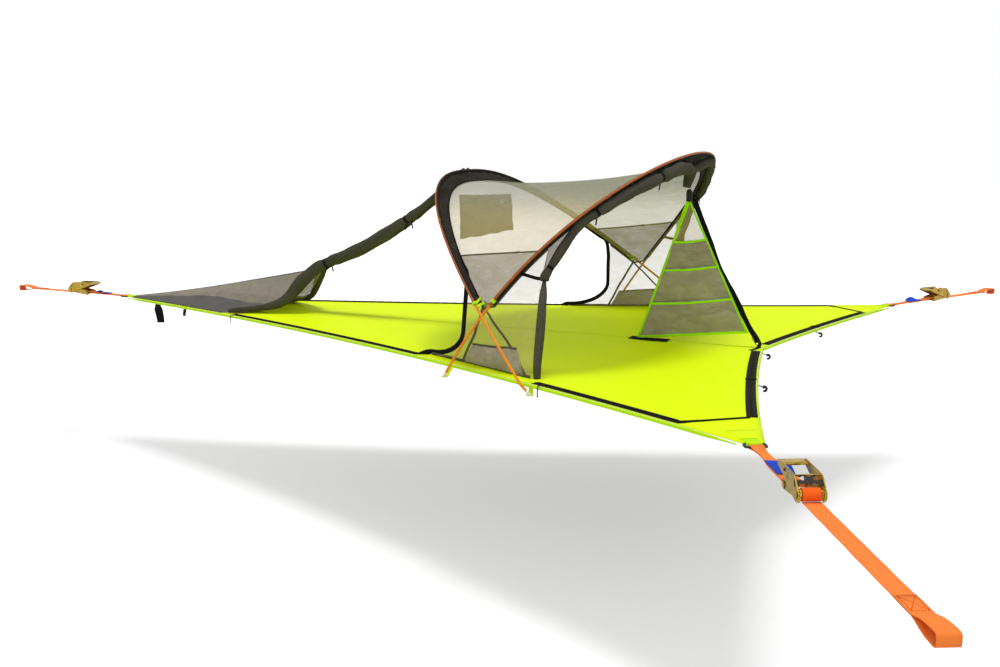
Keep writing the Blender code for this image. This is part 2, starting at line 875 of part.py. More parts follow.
def build_rear_zips():
    """Rear door zips: along the long edge, across the corner, and a wide band along the base."""
    for side in (-1, 1):
        edge, base = LONG[-1], BASE[-1]
        path = [inset_point(edge, mix(rear_zip_start_x, pocket_edge_x, i / 8), zip_inset) for i in range(9)]
        widths = [zip_width] * 9
        near_end = base_point_at_y(base, pocket_base_y, base_band_inset)
        for share in (0.33, 0.67):
            path.append(path[8].lerp(near_end, share))
            widths.append(zip_width)
        for i in range(9):
            y = mix(pocket_base_y, base_band_end_y, i / 8)
            path.append(base_point_at_y(base, y, base_band_inset))
            widths.append(base_band_width)
        across = []
        along = [(b - a).normalized() for a, b in zip(path, path[1:])]
        for i in range(len(path)):
            before = along[max(i - 1, 0)]
            after = along[min(i, len(along) - 1)]
            way = (before + after).normalized()
            square = Vector((way.y, -way.x, 0.0))
            across.append(square / max(square.dot(Vector((after.y, -after.x, 0.0))), 0.5))
        strip("rear_door_zip_" + SIDE_NAME[side], mirrored(path, side), widths, mirrored(across, side),
              fabric_thickness, BLACK_WEB)


def base_point_at_y(edge, y, inset):
    """Near-side point of the inset base edge at a given distance from the middle line."""
    low, high = -0.2, 1.2
    for _ in range(60):
        middle = (low + high) / 2
        if -edge.point(middle, inset).y < y:
            low = middle
        else:
            high = middle
    return on_floor(edge.point(low, inset), tape_height())


def build_sliders():
    """Zip sliders with hanging pulls; each turns about the far centre of its edge's arc."""
    for side in (-1, 1):
        edge = LONG[-1]
        centre = Vector((tip_x + edge.centre.x, -edge.centre.y * side, 0.0))
        axis = empty("edge_arc_centre_" + SIDE_NAME[side], centre)
        for name, x in (("front", front_zip_start_x + slider_length), ("rear", rear_slider_x)):
            place = edge.at_x(x, zip_inset)
            out = edge.outward(place)
            along = Vector((-out.y, out.x))
            low = tape_height() + fabric_thickness / 2 + touch_gap
            corners = []
            for a, b in ((-1, -1), (1, -1), (1, 1), (-1, 1)):
                spot = place + along * (a * slider_length / 2) + out * (b * slider_width / 2)
                corners.append(spot)
            points = [on_floor(spot, low) for spot in corners]
            points += [on_floor(spot, low + slider_height) for spot in corners]
            faces = [(0, 1, 2, 3), (4, 5, 6, 7), (0, 1, 5, 4), (1, 2, 6, 5), (2, 3, 7, 6), (3, 0, 4, 7)]
            data = mesh_of("zip_slider", mirrored(points, side), faces)
            body = add("zip_slider_" + name + "_" + SIDE_NAME[side], data, BLACK_STEEL)
            data.transform(Matrix.Translation(-centre))
            body.parent = axis
            level = low + slider_height / 2
            reach = zip_inset + edge_width * math.cos(edge_tilt) + 2 * pull_width
            line = [on_floor(place, level), on_floor(place + out * (reach - pull_width), level)]
            line.append(on_floor(place + out * reach, level - pull_width))
            line.append(on_floor(place + out * reach, -pull_drop))
            ways = [Vector((along.x, along.y, 0.0))] * 4
            pull = strip("pull_" + name + "_" + SIDE_NAME[side], mirrored(line, side), [pull_width] * 4,
                         mirrored(ways, side), pull_thickness, None)
            boolean(body, pull, "UNION")


# Net over the foot end and the rolled front doors

def ridge_point(share):
    """Ridge of the foot-end net, from the tip of the floor to the top of the net."""
    sag = net_sag * 4 * share * (1 - share)
    return Vector((tip_x + net_ridge_x * share, 0.0, net_ridge_height * share - sag))


def roll_line(count):
    """Near front roll: from the floor's edge up to the ridge, then along to the front arch's apex."""
    edge = LONG[-1]
    foot = on_floor(edge.at_x(net_edge_x, net_inset + front_roll_foot_radius),
                    fabric_thickness / 2 + touch_gap + front_roll_foot_radius)
    beside = Vector((0.0, -(front_roll_radius + touch_gap), 0.0))
    crest = ridge_point(1.0) + beside
    apex = Vector((tip_x + front_arch.x(front_arch.height), 0.0, front_arch.height))
    way = (apex - ridge_point(1.0)).normalized()
    end = apex - way * pole_radius * 0.97 + beside
    points = [foot]
    for share, droop_share in front_roll_droop_shares:
        points.append(foot.lerp(crest, share) - Vector((0.0, 0.0, front_roll_droop * droop_share)))
    points.append(crest)
    for share in (0.25, 0.5, 0.75):
        sag = Vector((0.0, 0.0, -front_roll_sag * 4 * share * (1 - share)))
        points.append(crest.lerp(end, share) + sag)
    points.append(end)
    line = smooth_line(points, count)
    for point in line:
        point.y = min(point.y, beside.y)
    return line


def build_front_rolls():
    for side in (-1, 1):
        line = roll_line(25)
        foot_length = 6
        radii = []
        for i in range(len(line)):
            bunching = 1 + roll_fold_share * math.sin(i * math.tau / 5)
            size = mix(front_roll_foot_radius, front_roll_radius, smooth(i / foot_length))
            radii.append(size * bunching / (1 + roll_fold_share))
        tube("front_door_roll_" + SIDE_NAME[side], mirrored(line, side), radii, DARK_MESH)


def build_net():
    """Two slopes of mesh from the floor's edges to the ridge, open towards the cabin."""
    edge = LONG[-1]
    clear = front_roll_radius + 2 * touch_gap
    rows = []
    count = 12
    for i in range(count + 1):
        share = i / count
        foot_place = edge.at_x(mix(net_start_x, net_edge_x - 2 * clear, share), net_inset)
        foot = on_floor(foot_place, tape_height())
        top = ridge_point(mix(net_start_x / net_ridge_x, 1 - 1.5 * clear / net_ridge_x, share))
        top = top + Vector((0.0, 0.0, tape_height()))
        half = [foot.lerp(top, k / 4) for k in range(5)]
        for k in (1, 2, 3):
            half[k] = half[k] - Vector((0.0, 0.0, net_sag * share * math.sin(math.pi * k / 4) / 2))
        rows.append(half + [Vector((p.x, -p.y, p.z)) for p in reversed(half[:-1])])
    sheet("front_net", rows, fabric_thickness, DARK_MESH)


# Rear doors

def gather_line():
    """Near gathered door: stands behind the wall's rear edge and leans out to the tie."""
    column = wall_columns()[-1]
    foot, top = column[0], column[-1]
    result = []
    for k in range(9):
        height = mix(foot.z, tie_height, k / 8)
        share = (height - foot.z) / (top.z - foot.z)
        lift = height / tie_height
        shift = Vector((gather_offset * (1 - lift / 2), -gather_offset * lift, 0.0))
        point = foot.lerp(top, share) + shift
        point.z = height
        result.append(point)
    result[0] = Vector((result[1].x, result[1].y, foot.z))
    return result


def behind_rear_band(z, distance):
    """Near-side point behind the rear arch's dark band, level with a height of the pole."""
    step = rear_arch.height / 200
    place = [Vector((tip_x + rear_arch.x(h), -rear_arch.half(h), h)) for h in (z - step, z, z + step)]
    return place[1] + rear_arch.inward(place)[1] * rear_roll_inset + rear_arch.across(z) * distance


def build_rear_doors():
    gathered = gather_line()
    for side in (-1, 1):
        radii = [gather_radius * (1 + roll_fold_share * math.sin(k * math.pi / 2)) for k in range(9)]
        tube("gathered_door_" + SIDE_NAME[side], mirrored(gathered, side), radii, DARK_MESH)
        upward = (gathered[-1] - gathered[-2]).normalized()
        start = gathered[-1] + upward * touch_gap
        points = [start + upward * rear_roll_radius]
        for height_share in rear_roll_height_shares:
            z = rear_arch.height * height_share
            size = mix(rear_roll_radius, bunch_radius, smooth((height_share - 0.7) / 0.3))
            points.append(behind_rear_band(z, size + rear_roll_gap))
        apex = Vector((tip_x + rear_arch.x(rear_arch.height), 0.0, rear_arch.height))
        for drop_share, front_share, beside_share in bunch_shares:
            beside = -(bunch_radius + touch_gap) * beside_share
            points.append(apex + Vector((-bunch_drop * front_share, beside, -bunch_drop * drop_share)))
        line = [start] + smooth_line(points, 24)
        sizes = []
        for i in range(25):
            size = mix(rear_roll_radius, bunch_radius, smooth((i - 8) / 13))
            if i == 24:
                size = bunch_radius / 2
            sizes.append(size * (1 + roll_fold_share * math.sin(i * math.tau / 5)) / (1 + roll_fold_share))
        tube("rear_door_roll_" + SIDE_NAME[side], mirrored(line, side), sizes, DARK_MESH)


# Things on the middle line

def build_spine():
    """Strap from the rear arch's apex down to the middle of the base edge."""
    points = []
    for across, up in spine_shares:
        x = mix(spine_foot_x, spine_top_x, across)
        points.append(Vector((tip_x + x, 0.0, mix(spine_foot_height, spine_top_height, up))))
    line = smooth_line(points, 17)
    square = Vector((0.0, 1.0, 0.0))
    strip("spine_strap", line, [spine_width] * 17, [square] * 17, spine_thickness, BLACK_WEB)


def build_organiser():
    """Triangular panel with three open-topped pockets that belly towards the near side."""
    apex = Vector((tip_x + spine_top_x - organiser_apex_front, 0.0, spine_top_height - organiser_apex_drop))
    front = Vector((tip_x + organiser_foot_x, 0.0, fabric_thickness / 2 + touch_gap))
    rear = Vector((tip_x + organiser_rear_x, 0.0, organiser_rear_height))
    rows = []
    for share in organiser_row_shares:
        left = apex.lerp(front, share)
        right = apex.lerp(rear, share)
        belly = 0.0
        for low, high in zip(organiser_pocket_shares, organiser_pocket_shares[1:]):
            if low <= share <= high:
                belly = max(belly, math.sin(math.pi * (share - low) / (high - low)))
        row = []
        for k in range(5):
            point = left.lerp(right, k / 4)
            point.y -= pocket_bulge * belly * math.sin(math.pi * k / 4)
            row.append(point)
        rows.append(row)
    sheet("organiser_panel", rows, fabric_thickness, DARK_MESH)
    top = max(point.z for point in rows[0]) + touch_gap
    half = buckle_width / 2
    shoulder = buckle_length * 0.8
    outline = [(-half, 0.0), (half, 0.0), (half, shoulder),
               (half / 2, buckle_length), (-half / 2, buckle_length), (-half, shoulder)]
    holder = empty("organiser_buckle_place", (rows[0][2].x, 0.0, top))
    depth = buckle_thickness / 2
    buckle = prism("organiser_buckle", outline, -depth, depth, BLACK_PLASTIC, holder)
    bevel = buckle.modifiers.new("rounding", "BEVEL")
    bevel.width = buckle_thickness / 5
    bevel.segments = 2


def build_hanging_panel():
    """Cloth panel hung inside the near canopy, behind the front arch."""
    row = canopy_rows(33, 8)[hanging_row]
    rows = []
    for i in range(7):
        place = mix(hanging_start_share, hanging_end_share, i / 6) * (len(row) - 1)
        column = int(place)
        top = row[column].lerp(row[column + 1], place - column) - Vector((0.0, 0.0, hanging_clearance))
        wave = Vector((0.0, pocket_bulge * math.sin(i * math.pi / 2), -hanging_drop))
        rows.append([top + wave * (k / 3) for k in range(4)])
    sheet("hanging_panel", rows, fabric_thickness, DARK_MESH)


# Corner rings, slings, straps and ratchets, built along +X from a corner and turned into place

def build_corner(name, centre, angle, bolt_reach, strap_reach):
    holder = empty(name + "_corner", on_floor(centre, 0.0), angle)
    build_ring(name, holder)
    build_sling(name, holder, bolt_reach)
    build_strap(name, holder, bolt_reach, strap_reach)
    ratchet = empty(name + "_ratchet_place", (bolt_reach + ratchet_length, 0.0, 0.0), parent=holder)
    axis = empty(name + "_spool_axis", (0.0, 0.0, spool_height), parent=ratchet)
    build_frame(name, axis)
    build_spool(name, axis)
    build_wound_webbing(name, axis)
    build_handle(name, axis)
    lifted = pawl_tip_radius + drive_pawl_lift
    build_pawl("drive_pawl_" + name, axis, drive_pawl_angle, lifted, arm_outer + pawl_overhang)
    build_pawl("lock_pawl_" + name, axis, lock_pawl_angle, pawl_tip_radius, wheel_outer)


def build_ring(name, holder):
    """Closed rectangular ring of round bar between the floor's corner loop and the sling."""
    half = webbing_width / 2 + ring_side_gap + ring_bar_radius
    corner = ring_bar_radius * 1.5
    low, high = ring_offset, ring_offset + ring_depth
    path = []
    centres = [(high - corner, half - corner), (low + corner, half - corner),
               (low + corner, corner - half), (high - corner, corner - half)]
    for i, centre in enumerate(centres):
        path += arc(centre, corner, i * math.pi / 2, (i + 1) * math.pi / 2, 3)
    line = [Vector((a, b, 0.0)) for a, b in path]
    ring = tube("corner_ring_" + name, line, [ring_bar_radius] * len(path), BLACK_STEEL, holder)
    ring.data.splines[0].use_cyclic_u = True


def build_sling(name, holder, bolt_reach):
    """Endless belt of webbing round the ring's outer bar and the ratchet's bolt, pressed flat between."""
    ring_turn = ring_bar_radius + touch_gap + webbing_thickness / 2
    bolt_turn = bolt_radius + touch_gap + webbing_thickness / 2
    pinch = webbing_thickness / 2 + touch_gap
    bar = ring_offset + ring_depth
    span = bolt_reach - bar
    lower = []
    for share in (0.16, 0.4, 0.7, 0.84):
        lower.append((bar + span * share, -pinch + bolt_height * share))
    path = arc((bar, 0.0), ring_turn, math.radians(96), math.radians(264), 6)
    path += lower
    path += arc((bolt_reach, bolt_height), bolt_turn, math.radians(-98), math.radians(98), 8)
    path += [(u, w + 2 * pinch) for u, w in reversed(lower)]
    widths = []
    for u, _ in path:
        share = min(max((u - bar) / span, 0.0), 1.0)
        waist = math.exp(-((share - sling_waist_share) / sling_spread_share) ** 2)
        widths.append(mix(webbing_width, sling_waist_width, waist))
    line = [Vector((u, 0.0, w)) for u, w in path]
    square = Vector((0.0, 1.0, 0.0))
    across = [square] * len(line)
    strip("sling_" + name, line, widths, across, webbing_thickness, ORANGE_WEB, holder, closed=True)


def build_strap(name, holder, bolt_reach, reach):
    """Strap from the roll on the spool to a sewn eye with a flat inner end."""
    below = spool_height - webbing_thickness / 2
    roll = wound_radius + webbing_thickness / 2 + touch_gap
    start = bolt_reach + ratchet_length + math.sqrt(roll ** 2 - below ** 2) + touch_gap
    end = reach + eye_length + webbing_thickness / 2
    flat = eye_height / 5
    half = eye_height / 2
    path = [(mix(start, reach, share), 0.0) for share in (0.0, 0.25, 0.5, 0.75, 1.0)]
    path += [(reach + eye_length * 0.35, -half * 0.6), (end - eye_length * 0.2, -half)]
    path += arc((end - half + flat, -flat), half - flat, math.radians(-90), 0.0, 3)[1:]
    path += arc((end - half + flat, flat), half - flat, 0.0, math.radians(90), 3)[:-1]
    lap = webbing_thickness + touch_gap
    path += [(end - eye_length * 0.2, half), (reach + eye_length * 0.35, half * 0.6 + lap)]
    path += [(reach, lap), (reach - eye_overlap, lap)]
    line = [Vector((u, 0.0, w)) for u, w in path]
    strip("tree_strap_" + name, line, [webbing_width] * len(line), [Vector((0.0, 1.0, 0.0))] * len(line),
          webbing_thickness, ORANGE_WEB, holder)


def hull(circles, sides=16):
    """Outline of a band stretched round some circles: (centre u, centre w, radius)."""
    points = []
    for u, w, radius in circles:
        for angle in steps(0.0, math.tau, sides):
            points.append((u + radius * math.cos(angle), w + radius * math.sin(angle)))
    points.sort()
    lines = []
    for ordered in (points, list(reversed(points))):
        half = []
        for p in ordered:
            while len(half) >= 2 and turn_of(half[-2], half[-1], p) <= touch_gap ** 2 / 10:
                half.pop()
            half.append(p)
        lines.append(half[:-1])
    return lines[0] + lines[1]


def turn_of(a, b, c):
    return (b[0] - a[0]) * (c[1] - a[1]) - (b[1] - a[1]) * (c[0] - a[0])


def build_frame(name, axis):
    """Two side plates joined by a web and the bolt, with holes for the spindle and slots for the pawl."""
    bolt_drop = bolt_height - spool_height
    outline = hull([(0.0, 0.0, plate_spool_radius), (-ratchet_length, bolt_drop, plate_bolt_radius)])
    frame = prism("ratchet_frame_" + name, outline, plate_inner, plate_outer, GOLD_STEEL, axis)
    far_plate = prism("far_plate_" + name, outline, -plate_outer, -plate_inner, None, axis)
    boolean(frame, far_plate, "UNION")
    web = []
    for share, lift in ((0.2, 0.0), (0.8, 0.0), (0.8, 1.0), (0.2, 1.0)):
        u = -ratchet_length * share
        low = bolt_drop * share - mix(plate_spool_radius, plate_bolt_radius, share) + side_clearance
        web.append((u, low + web_thickness * lift))
    half = plate_inner + plate_thickness / 2
    boolean(frame, prism("web_" + name, web, -half, half, None, axis), "UNION")
    head = plate_outer + bolt_head_height
    bolt = empty(name + "_bolt", (-ratchet_length, 0.0, bolt_drop), parent=axis)
    end = head - side_clearance
    boolean(frame, round_bar("bolt_" + name, bolt_radius, -end, end, None, bolt), "UNION")
    for way in (-1, 1):
        low, high = sorted((way * (plate_outer - plate_thickness / 2), way * head))
        label = "near" if way < 0 else "far"
        nut = round_bar("bolt_head_" + label + "_" + name, bolt_head_radius, low, high, None, bolt, 6)
        boolean(frame, nut, "UNION")
    reach = plate_outer + plate_thickness
    hole = round_bar("spindle_hole_" + name, spindle_radius + spindle_clearance, -reach, reach, None, axis)
    boolean(frame, hole, "DIFFERENCE")
    cut_pawl_slot(frame, "lock_slot_" + name, axis, lock_pawl_angle, pawl_tip_radius, reach)


def cut_pawl_slot(piece, name, axis, angle, tip, reach):
    """Slot through both plates of a piece, long enough for the pawl and its travel."""
    turned = empty(name + "_place", (0.0, 0.0, 0.0), parent=axis)
    turned.rotation_euler = (0.0, -angle, 0.0)
    half = pawl_thickness / 2 + pawl_slot_clearance
    low = tip - spindle_clearance
    high = tip + pawl_length + pawl_travel + spindle_clearance
    slot = prism(name, [(low, -half), (high, -half), (high, half), (low, half)], -reach, reach, None, turned)
    boolean(piece, slot, "DIFFERENCE")


def build_spool(name, axis):
    """Slotted spindle with a toothed wheel and a retaining cap at each end."""
    spool = round_bar("ratchet_spool_" + name, spindle_radius, -cap_outer + side_clearance,
                      cap_outer - side_clearance, GOLD_STEEL, axis)
    outline = []
    for tooth in range(wheel_teeth):
        for share, height in tooth_shares:
            angle = math.tau * (tooth + share) / wheel_teeth
            radius = mix(wheel_root_radius, wheel_tip_radius, height)
            outline.append((radius * math.cos(angle), radius * math.sin(angle)))
    for way in (-1, 1):
        label = "near_" if way < 0 else "far_"
        low, high = sorted((way * wheel_inner, way * wheel_outer))
        boolean(spool, prism("wheel_" + label + name, outline, low, high, None, axis), "UNION")
        low, high = sorted((way * cap_inner, way * cap_outer))
        boolean(spool, round_bar("cap_" + label + name, spool_cap_radius, low, high, None, axis), "UNION")
    half = spindle_slot / 2
    long = spindle_radius * 1.5
    slot = prism("slot_" + name, [(-long, -half), (long, -half), (long, half), (-long, half)],
                 -webbing_width / 2 - side_clearance, webbing_width / 2 + side_clearance, None, axis)
    boolean(spool, slot, "DIFFERENCE")


def build_wound_webbing(name, axis):
    """Webbing through the spindle's slot and wound on in a spiral that ends at the bottom."""
    left = [i / 12 for i in range(int(wound_turns * 12), -1, -1)]
    left = sorted(left + list(wound_step_shares), reverse=True)
    low_step, high_step = wound_step_shares
    pitch = webbing_thickness + side_clearance
    path = []
    for turns in left:
        if turns >= high_step:
            radius = wound_radius - pitch * (1 + turns - high_step)
        else:
            radius = wound_radius - pitch * smooth((turns - low_step) / (high_step - low_step))
        angle = -math.pi / 2 - math.tau * turns
        path.append((radius * math.cos(angle), radius * math.sin(angle)))
    tail = (path[0][0] * -0.7, path[0][1] * -0.7)
    line = [Vector((u, 0.0, w)) for u, w in [tail] + path]
    strip("wound_webbing_" + name, line, [webbing_width - 2 * side_clearance] * len(line),
          [Vector((0.0, 1.0, 0.0))] * len(line), webbing_thickness, ORANGE_WEB, axis)


def build_handle(name, axis):
    """Two cheeks outside the wheels, a spring bar between them and a flat grip at the end."""
    grip_radius = plate_thickness * 1.5
    middle = -handle_length + grip_length / 2
    outline = hull([(0.0, 0.0, handle_hub_radius),
                    (-handle_knee_reach, handle_knee_rise, handle_knee_radius),
                    (middle, handle_rise, grip_radius * 2)])
    handle = prism("ratchet_handle_" + name, outline, arm_inner, arm_outer, GOLD_STEEL, axis)
    boolean(handle, prism("near_cheek_" + name, outline, -arm_outer, -arm_inner, None, axis), "UNION")
    half = arm_inner + plate_thickness / 2
    grip_ends = [(-handle_length, handle_rise, grip_radius),
                 (-handle_length + grip_length, handle_rise, grip_radius)]
    grip = hull(grip_ends, 12)
    boolean(handle, prism("grip_" + name, grip, -half, half, None, axis), "UNION")
    back, up = spring_bar_shares
    bar = hull([(-handle_knee_reach * back, handle_knee_rise * up, plate_thickness)], 12)
    boolean(handle, prism("spring_bar_" + name, bar, -half, half, None, axis), "UNION")
    reach = arm_outer + plate_thickness
    hole = round_bar("hub_hole_" + name, spindle_radius + spindle_clearance, -reach, reach, None, axis)
    boolean(handle, hole, "DIFFERENCE")
    lifted = pawl_tip_radius + drive_pawl_lift
    cut_pawl_slot(handle, "drive_slot_" + name, axis, drive_pawl_angle, lifted, reach)


def build_pawl(name, axis, angle, tip, half):
    """Plate that drops between the teeth of both wheels, cut away over the roll, with a finger tab behind.

    The lock pawl stands in the teeth. The drive pawl stands just clear, as with the handle folded down.
    """
    turned = empty(name + "_place", (0.0, 0.0, 0.0), parent=axis)
    turned.rotation_euler = (0.0, -angle, 0.0)
    back = tip + pawl_length
    inner = plate_inner - side_clearance * 2
    finger = finger_width / 2
    outline = [(tip, -half), (tip, -inner), (pawl_recess_radius, -inner), (pawl_recess_radius, inner),
               (tip, inner), (tip, half), (back, half), (back, finger), (back + finger_length, finger),
               (back + finger_length, -finger), (back, -finger), (back, -half)]
    prism(name, outline, -pawl_thickness / 2, pawl_thickness / 2, GOLD_STEEL, turned, plane="UV")


def build():
    clear_scene()
    build_floor()
    build_edges()
    build_fly_tabs()
    build_poles()
    build_valances()
    build_canopy()
    build_walls()
    build_front_zips()
    build_rear_zips()
    build_sliders()
    build_front_rolls()
    build_net()
    build_rear_doors()
    build_spine()
    build_organiser()
    build_hanging_panel()
    for name, (centre, angle, bolt_reach, strap_reach) in CORNERS.items():
        build_corner(name, centre, angle, bolt_reach, strap_reach)


build()
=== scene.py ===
"""Looks of the tree tent: camera, lights, materials and the fabric pieces that stand for the plain ones."""

import json
from math import atan2, cos, exp, hypot, pi, radians, sin, sqrt, tau

import bmesh
import bpy
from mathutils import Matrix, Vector, noise

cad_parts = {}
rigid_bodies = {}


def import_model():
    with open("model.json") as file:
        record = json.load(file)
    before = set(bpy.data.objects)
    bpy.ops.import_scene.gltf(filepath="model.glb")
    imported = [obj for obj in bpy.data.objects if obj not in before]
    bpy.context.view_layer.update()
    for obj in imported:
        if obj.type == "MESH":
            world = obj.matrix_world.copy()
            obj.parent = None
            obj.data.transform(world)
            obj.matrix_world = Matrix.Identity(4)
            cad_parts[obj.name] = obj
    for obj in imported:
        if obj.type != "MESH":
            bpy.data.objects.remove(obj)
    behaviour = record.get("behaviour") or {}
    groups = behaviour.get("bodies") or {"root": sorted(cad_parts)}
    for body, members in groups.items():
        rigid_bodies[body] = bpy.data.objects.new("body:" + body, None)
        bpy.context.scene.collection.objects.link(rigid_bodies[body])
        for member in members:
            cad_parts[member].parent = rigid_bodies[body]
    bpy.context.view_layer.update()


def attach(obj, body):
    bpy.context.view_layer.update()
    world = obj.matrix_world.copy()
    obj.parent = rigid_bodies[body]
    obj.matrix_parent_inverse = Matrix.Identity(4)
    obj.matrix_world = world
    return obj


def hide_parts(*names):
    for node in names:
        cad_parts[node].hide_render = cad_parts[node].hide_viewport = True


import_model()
TIP = 0.880
SHEET, WEBBING = 0.0008, 0.0020


def vec(*parts):
    return Vector(parts)


X = vec(1.0, 0.0, 0.0)
Y = vec(0.0, 1.0, 0.0)
Z = vec(0.0, 0.0, 1.0)


# Camera

camera = bpy.data.objects.new("camera", bpy.data.cameras.new("camera"))
bpy.context.scene.collection.objects.link(camera)
camera.location = (5.570, -4.737, 0.904)
camera.rotation_euler = (pi / 2 - 0.1762, 0.0, 0.4541)
camera.data.lens = 39.63
camera.data.sensor_width = 36.0
camera.data.clip_end = 200.0
bpy.context.scene.camera = camera
bpy.context.scene.view_settings.view_transform = "Standard"


# Materials

class Graph:
    """A Principled material whose nodes are added one by one."""

    def __init__(self, name, colour, roughness, specular=0.5, metallic=0.0):
        self.material = bpy.data.materials.new(name)
        self.material.use_nodes = True
        self.nodes = self.material.node_tree.nodes
        self.shader = self.nodes["Principled BSDF"]
        self.fill(self.shader, {"Base Color": (*colour, 1.0), "Roughness": roughness,
                                "Specular IOR Level": specular, "Metallic": metallic})

    def fill(self, node, values):
        for name, value in values.items():
            socket = node.inputs[name]
            if isinstance(value, bpy.types.NodeSocket):
                self.material.node_tree.links.new(value, socket)
            else:
                socket.default_value = value

    def node(self, kind, values=None, **settings):
        node = self.nodes.new("ShaderNode" + kind)
        for name, value in settings.items():
            setattr(node, name, value)
        self.fill(node, values or {})
        return node

    def math(self, operation, a, b=0.0):
        return self.node("Math", {0: a, 1: b}, operation=operation).outputs[0]

    def add(self, a, b):
        return self.math("ADD", a, b)

    def times(self, a, b):
        return self.math("MULTIPLY", a, b)

    def blend(self, a, b, share):
        return self.add(self.times(a, 1 - share), self.times(b, share))

    def wave(self, value, period):
        return self.math("SINE", self.times(value, tau / period))

    def place(self):
        return self.node("TexCoord").outputs["Object"]

    def noise(self, scale, detail=3.0, distortion=0.0, place=None):
        values = {"Vector": place or self.place(), "Scale": scale, "Detail": detail, "Distortion": distortion}
        return self.node("TexNoise", values).outputs["Fac"]

    def stretched(self, x, y, z):
        return self.node("Mapping", {"Vector": self.place(), "Scale": (x, y, z)}).outputs["Vector"]

    def spread(self, value, middle, below, above):
        """The middle range of a noise value, spread from below a number to above it."""
        values = {"Value": value, "From Min": 0.3, "From Max": 0.7, "To Min": middle - below, "To Max": middle + above}
        return self.node("MapRange", values).outputs["Result"]

    def rise(self, value, low, high, start=0.0, end=1.0):
        """A smooth step from start to end as the value goes from low to high."""
        values = {"Value": value, "From Min": low, "From Max": high, "To Min": start, "To Max": end}
        return self.node("MapRange", values, interpolation_type="SMOOTHSTEP").outputs["Result"]

    def lengths(self):
        """The piece's own crosswise and lengthwise distances in metres."""
        parts = self.node("SeparateXYZ", {"Vector": self.node("UVMap", uv_map="weave").outputs["UV"]})
        return parts.outputs["X"], parts.outputs["Y"]

    def weave(self, period):
        """Height of crossing threads."""
        across, along = self.lengths()
        return self.times(self.wave(across, period), self.wave(along, period))

    def shades(self, value, dark, light):
        ramp = self.node("ValToRGB", {"Fac": value})
        for element, position, colour in zip(ramp.color_ramp.elements, (0.25, 0.75), (dark, light)):
            element.position = position
            element.color = (*colour, 1.0)
        return ramp.outputs["Color"]

    def tones(self, value, colour, vary):
        return self.shades(value, scaled(colour, 1 - vary), scaled(colour, 1 + vary))

    def bump(self, height, distance, strength, after=None):
        values = {"Height": height, "Distance": distance, "Strength": strength}
        if after is not None:
            values["Normal"] = after
        return self.node("Bump", values).outputs["Normal"]

    def finish(self, colour, roughness, normal, alpha=1.0):
        self.fill(self.shader, {"Base Color": colour, "Roughness": roughness, "Normal": normal, "Alpha": alpha})
        return self.material


def rgb(*parts):
    """Linear colour of a screen colour."""
    shares = [part / 255 for part in parts]
    return tuple(s / 12.92 if s <= 0.04045 else ((s + 0.055) / 1.055) ** 2.4 for s in shares)


def scaled(colour, share):
    return tuple(min(part * share, 1.0) for part in colour)


def cloth_material(name, colour, roughness, period, vary=0.12, wrinkle=0.002, scale=3.0):
    """Woven cloth: threads, soft creases and slow changes of tone."""
    g = Graph(name, colour, roughness, 0.06)
    fine = g.noise(scale * 40, 2.0)
    tone = g.blend(g.noise(scale, 4.0, 0.6), fine, 0.25)
    creases = g.bump(g.noise(scale * 5, 5.0, 1.2), wrinkle, 0.7)
    normal = g.bump(g.weave(period), period * 0.16, 0.8, creases)
    return g.finish(g.tones(tone, colour, vary), g.spread(fine, roughness, 0.08, 0.08), normal)


def webbing_material(name, colour, roughness, rib, tone_spread):
    """Heavy webbing: slanted ribs that meet in the middle, lighter along its ridges and darker between them."""
    g = Graph(name, colour, roughness, 0.06)
    across, along = g.lengths()
    ribs = g.wave(g.add(along, g.math("ABSOLUTE", across)), rib)
    height = g.blend(ribs, g.wave(across, rib * 0.7), 0.4)
    tone = g.add(g.times(g.noise(7.0, 4.0), 0.8), g.times(height, 0.12))
    normal = g.bump(height, rib * 0.12, 0.9, g.bump(g.noise(40.0, 2.0), 0.0008, 0.5))
    return g.finish(g.tones(tone, colour, tone_spread), g.spread(g.noise(160.0, 2.0), roughness, 0.1, 0.1), normal)


MESH_PERIOD = 0.0026


def mesh_material(name, colour, alpha, vary=0.08, wrinkle=0.0015, swing=0.10, upper=None):
    """Insect mesh: threads with gaps that let part of what is behind them through.

    upper is the colour, alpha and heights of a greyer, more opaque part near the top: its colour is painted shade, and
    its opacity stands in for the mesh looking denser where it is seen edge-on.
    """
    g = Graph(name, colour, 0.85, 0.05)
    slow = g.noise(2.2, 4.0, 0.8)
    fold = g.noise(9.0, 5.0, 1.5, g.stretched(1.0, 1.0, 2.2))
    weave = g.weave(MESH_PERIOD)
    density = g.add(g.spread(fold, alpha, swing * 0.6, swing * 0.6), g.times(weave, swing * 0.8))
    normal = g.bump(weave, MESH_PERIOD * 0.12, 0.6, g.bump(fold, wrinkle, 0.8))
    colours = g.tones(g.blend(slow, fold, 0.4), colour, vary)
    # Near the top the mesh turns greyer, which is painted shade, and more opaque, which stands in for mesh seen
    # edge-on.
    if upper:
        painted_shade_colour, second_alpha, low, high = upper
        height = g.node("SeparateXYZ", {"Vector": g.place()}).outputs["Z"]
        share = g.rise(g.add(height, g.times(slow, 0.06)), low + 0.03, high + 0.03)
        colours = g.node("Mix", {"Factor": share, 6: colours, 7: (*painted_shade_colour, 1.0)}, data_type="RGBA").outputs[2]
        density = g.add(density, g.times(share, second_alpha - alpha))
    return g.finish(colours, g.spread(slow, 0.85, 0.07, 0.07), normal, density)


